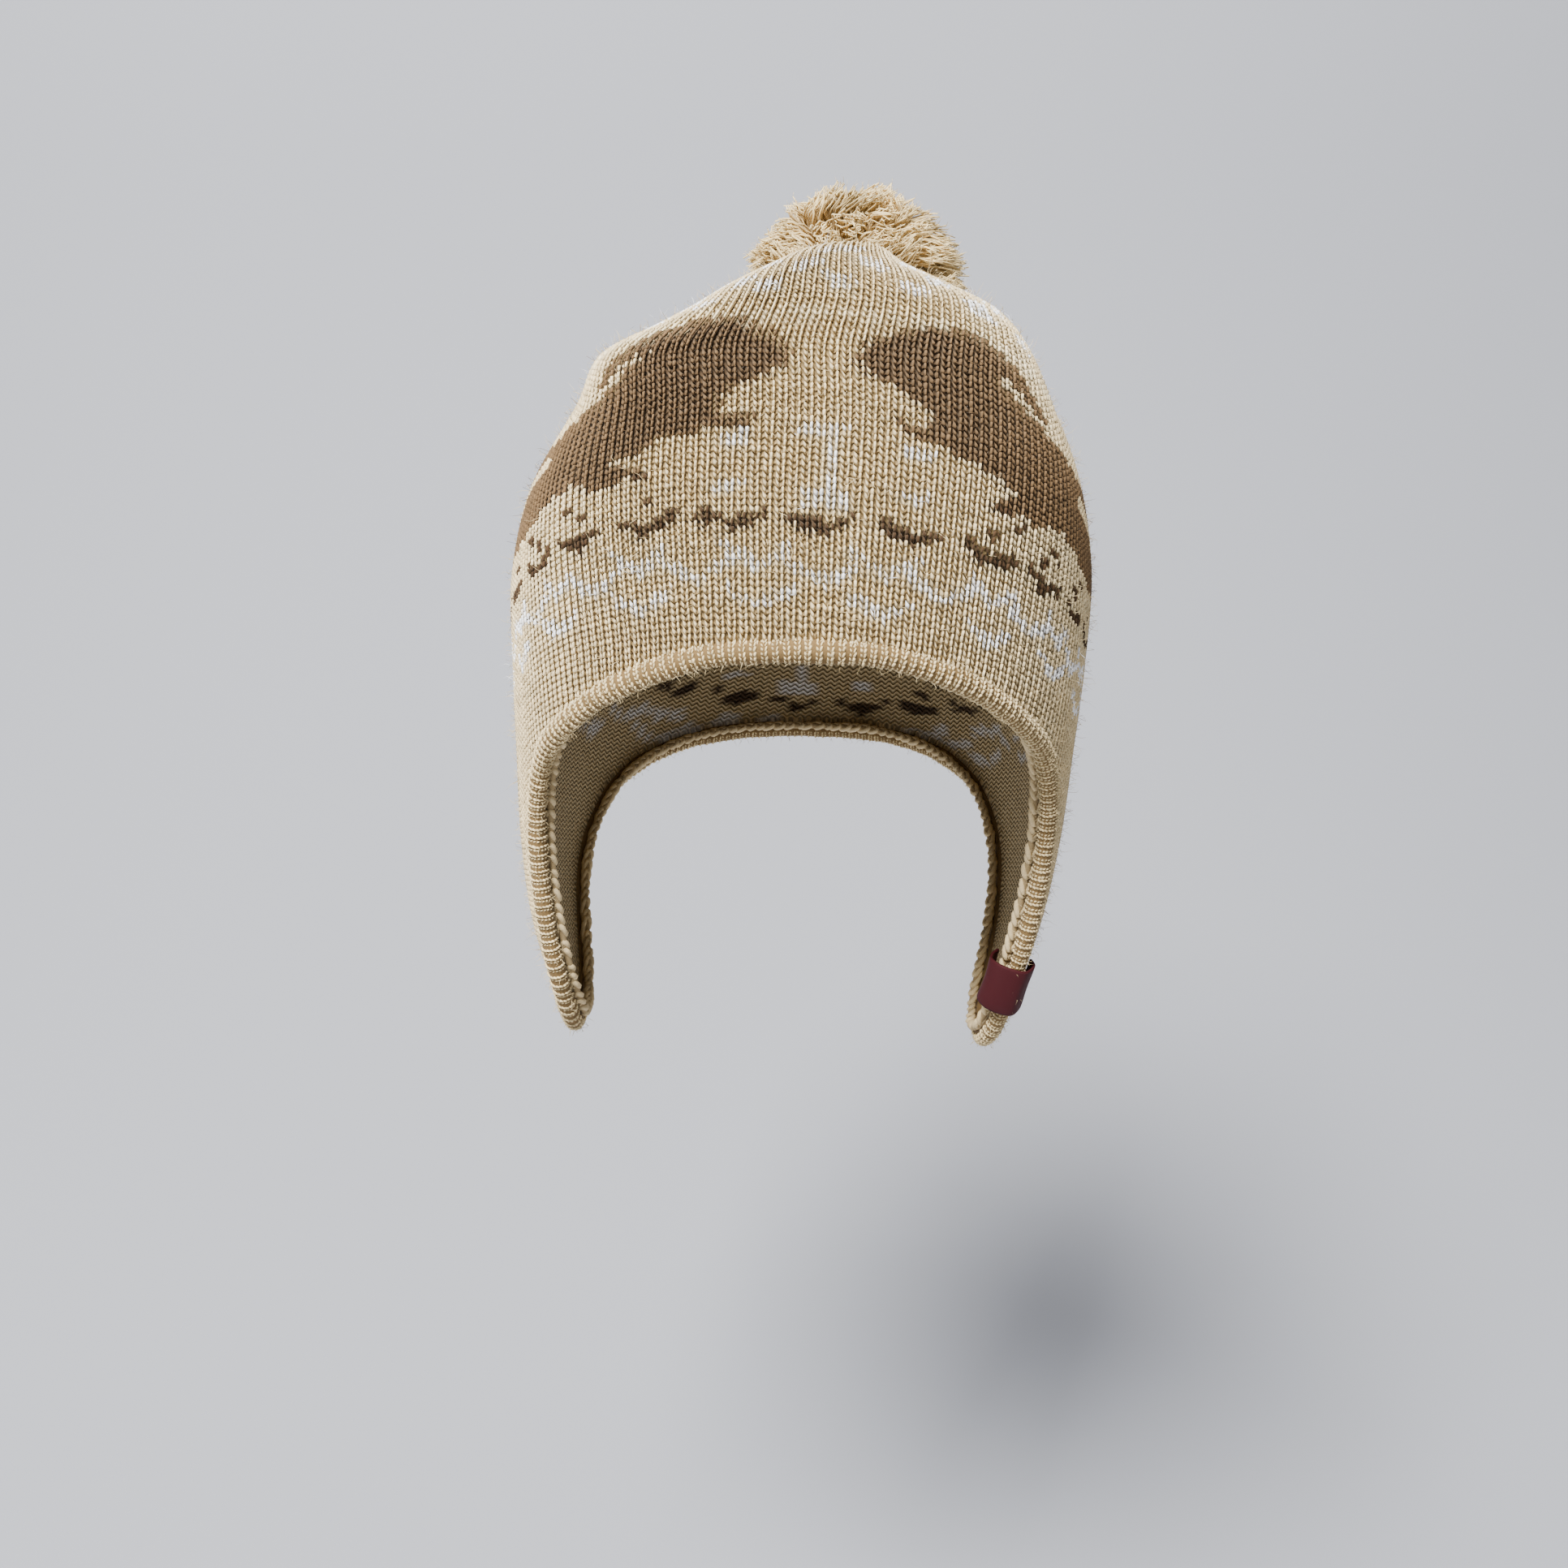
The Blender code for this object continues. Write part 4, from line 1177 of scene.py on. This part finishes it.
# POMPOM_LIT and the colour below are lit and shaded copies of the one yarn: the strands darken from tip to
# root in painted shade.
POMPOM_PAINTED_SHADE = tint(182, 150, 94)
tie = knit_surface(0.0, LID_REACH)
pompom_middle = tie + (POMPOM_RIGHT, POMPOM_BACK, POMPOM_UP)
half_sizes = np.array([POMPOM_WIDTH, POMPOM_DEPTH, POMPOM_HEIGHT]) / 2
index = np.arange(STRANDS) + 0.5
height = 1 - 2 * index / STRANDS
golden = index * math.pi * (3 - math.sqrt(5))
level_ring = np.sqrt(1 - height**2)
heading = np.column_stack([level_ring * np.cos(golden), level_ring * np.sin(golden), height])
heading = unit(heading + random.normal(0, STRAND_SPREAD, heading.shape))
tilt = unit(np.cross(heading, unit(random.normal(0, 1, heading.shape))))
other = np.cross(heading, tilt)
far = STRAND_REACH + random.normal(0, STRAND_UNEVEN, STRANDS)
clump = unit(random.normal(0, 1, (CLUMPS, 3)))
bend_to = unit(np.cross(clump, random.normal(0, 1, clump.shape)) + CLUMP_DROOP)
nearest = np.argmax(heading @ clump.T, axis=1)
start_turn = random.uniform(0, 2 * math.pi, STRANDS)
twist = random.uniform(FEWEST_TWISTS, MOST_TWISTS, STRANDS) * 2 * math.pi
lines = []
for step in range(STRAND_STEPS):
    share = step / (STRAND_STEPS - 1)
    reach_out = (STRAND_ROOT + (far - STRAND_ROOT) * share)[:, None]
    bent = unit(heading + (clump[nearest] - heading) * CLUMP_PULL * share**2)
    angle = start_turn + twist * share
    wave = np.cos(angle)[:, None] * tilt + np.sin(angle)[:, None] * other
    hook = bend_to[nearest] * TIP_BEND * share**3
    lines.append(bent * half_sizes * reach_out + wave * (CURL * share) + hook)
lines = np.stack(lines, axis=1)
sag = (np.linalg.norm(lines, axis=2, keepdims=True) / half_sizes[2]) ** 3
lines = lines + sag * POMPOM_SAG - POMPOM_ASIDE
run = unit(np.gradient(lines, axis=1))
flat = unit(np.cross(run, tilt[:, None]))
round_it = np.cross(run, flat)
thick = STRAND_YARN * (1 + random.normal(0, THICKNESS_UNEVEN, STRANDS))[:, None, None, None]
taper = np.interp(np.linspace(0, 1, STRAND_STEPS), *STRAND_TAPER)[None, :, None, None]
turn = (np.arange(STRAND_SIDES) * 2 * math.pi / STRAND_SIDES)[:, None]
spokes = np.cos(turn) * flat[:, :, None] + np.sin(turn) * round_it[:, :, None]
rings = (lines + pompom_middle)[:, :, None] + thick * taper * spokes
per_strand = STRAND_STEPS * STRAND_SIDES
faces = []
for step in range(STRAND_STEPS - 1):
    for side in range(STRAND_SIDES):
        a = step * STRAND_SIDES + side
        b = step * STRAND_SIDES + (side + 1) % STRAND_SIDES
        faces += [(a, b, b + STRAND_SIDES), (a, b + STRAND_SIDES, a + STRAND_SIDES)]
last = (STRAND_STEPS - 1) * STRAND_SIDES
faces += [(0, 2, 1), (last, last + 1, last + 2)]
strand_faces = np.array(faces)[None] + np.arange(STRANDS)[:, None, None] * per_strand
# Painted shade: each strand darkens from its tip in to its root, and clumps and strands differ a little in
# tone at random.
depth = np.linspace(0, 1, STRAND_STEPS)[None, :, None, None] ** 1.5
strand_tone_and_painted_shade = POMPOM_PAINTED_SHADE + (POMPOM_LIT - POMPOM_PAINTED_SHADE) * depth
clump_shade = (1 + random.normal(0, CLUMP_UNEVEN, len(clump)))[nearest]
strand_tone_and_painted_shade = strand_tone_and_painted_shade * (clump_shade + random.normal(0, STRAND_SHADES, STRANDS))[:, None, None, None]
strand_tone_and_painted_shade = np.broadcast_to(strand_tone_and_painted_shade, rings.shape).reshape(-1, 3)
strands = make_mesh("pompom_yarn", rings.reshape(-1, 3), strand_faces.reshape(-1, 3), strand_tone_and_painted_shade)
bpy.ops.object.select_all(action="DESELECT")
bpy.ops.mesh.primitive_ico_sphere_add(subdivisions=4, radius=1.0, location=(0, 0, 0))
heart = bpy.context.object
heart.name = "pompom_heart"
for vertex in heart.data.vertices:
    vertex.co = tuple(pompom_middle + np.array(vertex.co) * half_sizes * POMPOM_HEART)
heart.data.shade_smooth()
# The heart is coloured all over with the painted shade of the pompom's middle.
layer = heart.data.color_attributes.new("yarn", "FLOAT_COLOR", "POINT")
for point in layer.data:
    point.color = (*POMPOM_PAINTED_SHADE, 1.0)
pompom_yarn = yarn_material("pompom_yarn", 0.25, 1500.0, 0.6)
for piece in (strands, heart):
    piece.data.materials.append(pompom_yarn)
    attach(piece, "root")
    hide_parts("pompom")

# The loose fibres: the yarn is half wool, so fine hairs stand off its surface all over and blur the
# outline of the knit, the band and the pompom.
FIBRE_THICKNESS = 0.00006
CROWN_FIBRES = 7000
BAND_FIBRES = 1600
POMPOM_FIBRES = 2600
LONG_HAIR = 0.0062
SHORT_HAIR = 0.0034
HAIR_FACES = np.array([
    (0, 2, 1),
    (0, 1, 4), (0, 4, 3), (1, 2, 5), (1, 5, 4), (2, 0, 3), (2, 3, 5),
    (3, 4, 6), (4, 5, 6), (5, 3, 6),
])


def loose_fibres(name, roots, outs, longest, colours):
    """Fine bent hairs of three corners, each of two lengths that end in a point."""
    count = len(roots)
    reach_out = longest * random.uniform(0.35, 1.0, (count, 1))
    first = unit(outs * 0.7 + random.normal(0, 0.55, roots.shape)) * reach_out * 0.5
    second = first + unit(outs * 0.25 + random.normal(0, 0.7, roots.shape)) * reach_out * 0.5
    flat = unit(np.cross(first, random.normal(0, 1, roots.shape)))
    other = unit(np.cross(first, flat))
    corners = [flat, other * 0.87 - flat * 0.5, -other * 0.87 - flat * 0.5]
    points = [roots + corner * FIBRE_THICKNESS for corner in corners]
    points += [roots + first + corner * FIBRE_THICKNESS * 0.8 for corner in corners]
    points = np.stack(points + [roots + second], axis=1)
    size = points.shape[1]
    faces = HAIR_FACES[None] + np.arange(count)[:, None, None] * size
    return make_mesh(name, points.reshape(-1, 3), faces.reshape(-1, 3), np.repeat(colours, size, axis=0))


picked = np.argwhere(stitch_kept[:-1])
picked = picked[random.choice(len(picked), CROWN_FIBRES, replace=False)]
roots = knit_points[picked[:, 0], picked[:, 1]]
outs = knit_normals[picked[:, 0], picked[:, 1]]
hair = YARN_COLOURS[right_chart[picked[:, 0], picked[:, 1]]]
crown_fibres = loose_fibres("crown_fibres", roots, outs, LONG_HAIR, hair)
station = random.integers(0, BAND_RIBS, BAND_FIBRES)
turn = random.uniform(BAND_FROM, BAND_TO, BAND_FIBRES)
roots = band_place(middle[station], normal[station], down[station], plump[station], turn, 0.0)
outs = unit(roots - middle[station])
hair = np.tile(BAND_COLOUR, (BAND_FIBRES, 1))
band_fibres = loose_fibres("band_fibres", roots, outs, SHORT_HAIR, hair)
tips = (lines[:, -1] + pompom_middle)[random.choice(STRANDS, POMPOM_FIBRES, replace=False)]
outs = unit(tips - pompom_middle)
hair = np.tile(POMPOM_LIT, (POMPOM_FIBRES, 1))
pompom_fibres = loose_fibres("pompom_fibres", tips, outs, SHORT_HAIR, hair)
for piece, slot, node in (
    (crown_fibres, "knit", "crown"),
    (band_fibres, "band_knit", "edge_binding"),
    (pompom_fibres, "pompom_yarn", "pompom"),
):
    piece.data.materials.append(knit_yarn)
    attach(piece, "root")
    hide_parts(node)

# The floor and the wall behind are one pale sheet of paper, bent up in a wide curve.
FLOOR_DROP = 0.32
WALL_BEHIND = 0.85
BEND = 0.70
BEND_STEPS = 24
SHEET_REACH = 4.0
PAPER_COLOUR = (0.455, 0.465, 0.50, 1)
floor_level = cad_low[2] - FLOOR_DROP
bend = np.radians(np.linspace(0, 90, BEND_STEPS + 1))
run = np.concatenate([[-SHEET_REACH], WALL_BEHIND - BEND + BEND * np.sin(bend), [WALL_BEHIND]])
climb = np.concatenate([[0.0], BEND - BEND * np.cos(bend), [SHEET_REACH]])
corners = [(side, y, floor_level + z) for y, z in zip(run, climb) for side in (-SHEET_REACH, SHEET_REACH)]
strips = [(2 * i, 2 * i + 1, 2 * i + 3, 2 * i + 2) for i in range(len(run) - 1)]
sheet = bpy.data.meshes.new("floor")
sheet.from_pydata(corners, [], strips)
sheet.shade_smooth()
floor = bpy.data.objects.new("floor", sheet)
bpy.context.scene.collection.objects.link(floor)
paper = bpy.data.materials.new("pale_paper")
paper.use_nodes = True
paper.node_tree.nodes["Principled BSDF"].inputs["Base Color"].default_value = PAPER_COLOUR
paper.node_tree.nodes["Principled BSDF"].inputs["Roughness"].default_value = 0.9
floor.data.materials.append(paper)

# The light: a pale room all round, one soft lamp from the upper left and a trace of one from the right.
ROOM_COLOUR = (0.86, 0.86, 0.88, 1)
ROOM_LIGHT = 0.36
KEY_PLACE = (-0.42, -0.88, 1.10)
KEY_TARGET = (0, 0, -0.02)
KEY_SIZE = 0.6
KEY_POWER = 88
FILL_PLACE = (0.9, -0.9, 0.6)
FILL_TARGET = (0, 0, -0.04)
FILL_SIZE = 1.0
FILL_POWER = 1
world = bpy.data.worlds.new("studio")
world.use_nodes = True
world.node_tree.nodes["Background"].inputs["Color"].default_value = ROOM_COLOUR
world.node_tree.nodes["Background"].inputs["Strength"].default_value = ROOM_LIGHT
bpy.context.scene.world = world


def soft_light(name, place, target, size, power):
    """A square area lamp that faces its target."""
    bpy.ops.object.light_add(type="AREA", location=place)
    lamp = bpy.context.object
    lamp.name = name
    lamp.data.size = size
    lamp.data.energy = power
    aim = np.array(target) - np.array(place)
    level = math.hypot(aim[0], aim[1])
    lamp.rotation_euler = (math.atan2(level, -aim[2]), 0, math.atan2(aim[0], -aim[1]) + math.pi)


soft_light("key", KEY_PLACE, KEY_TARGET, KEY_SIZE, KEY_POWER)
soft_light("fill", FILL_PLACE, FILL_TARGET, FILL_SIZE, FILL_POWER)
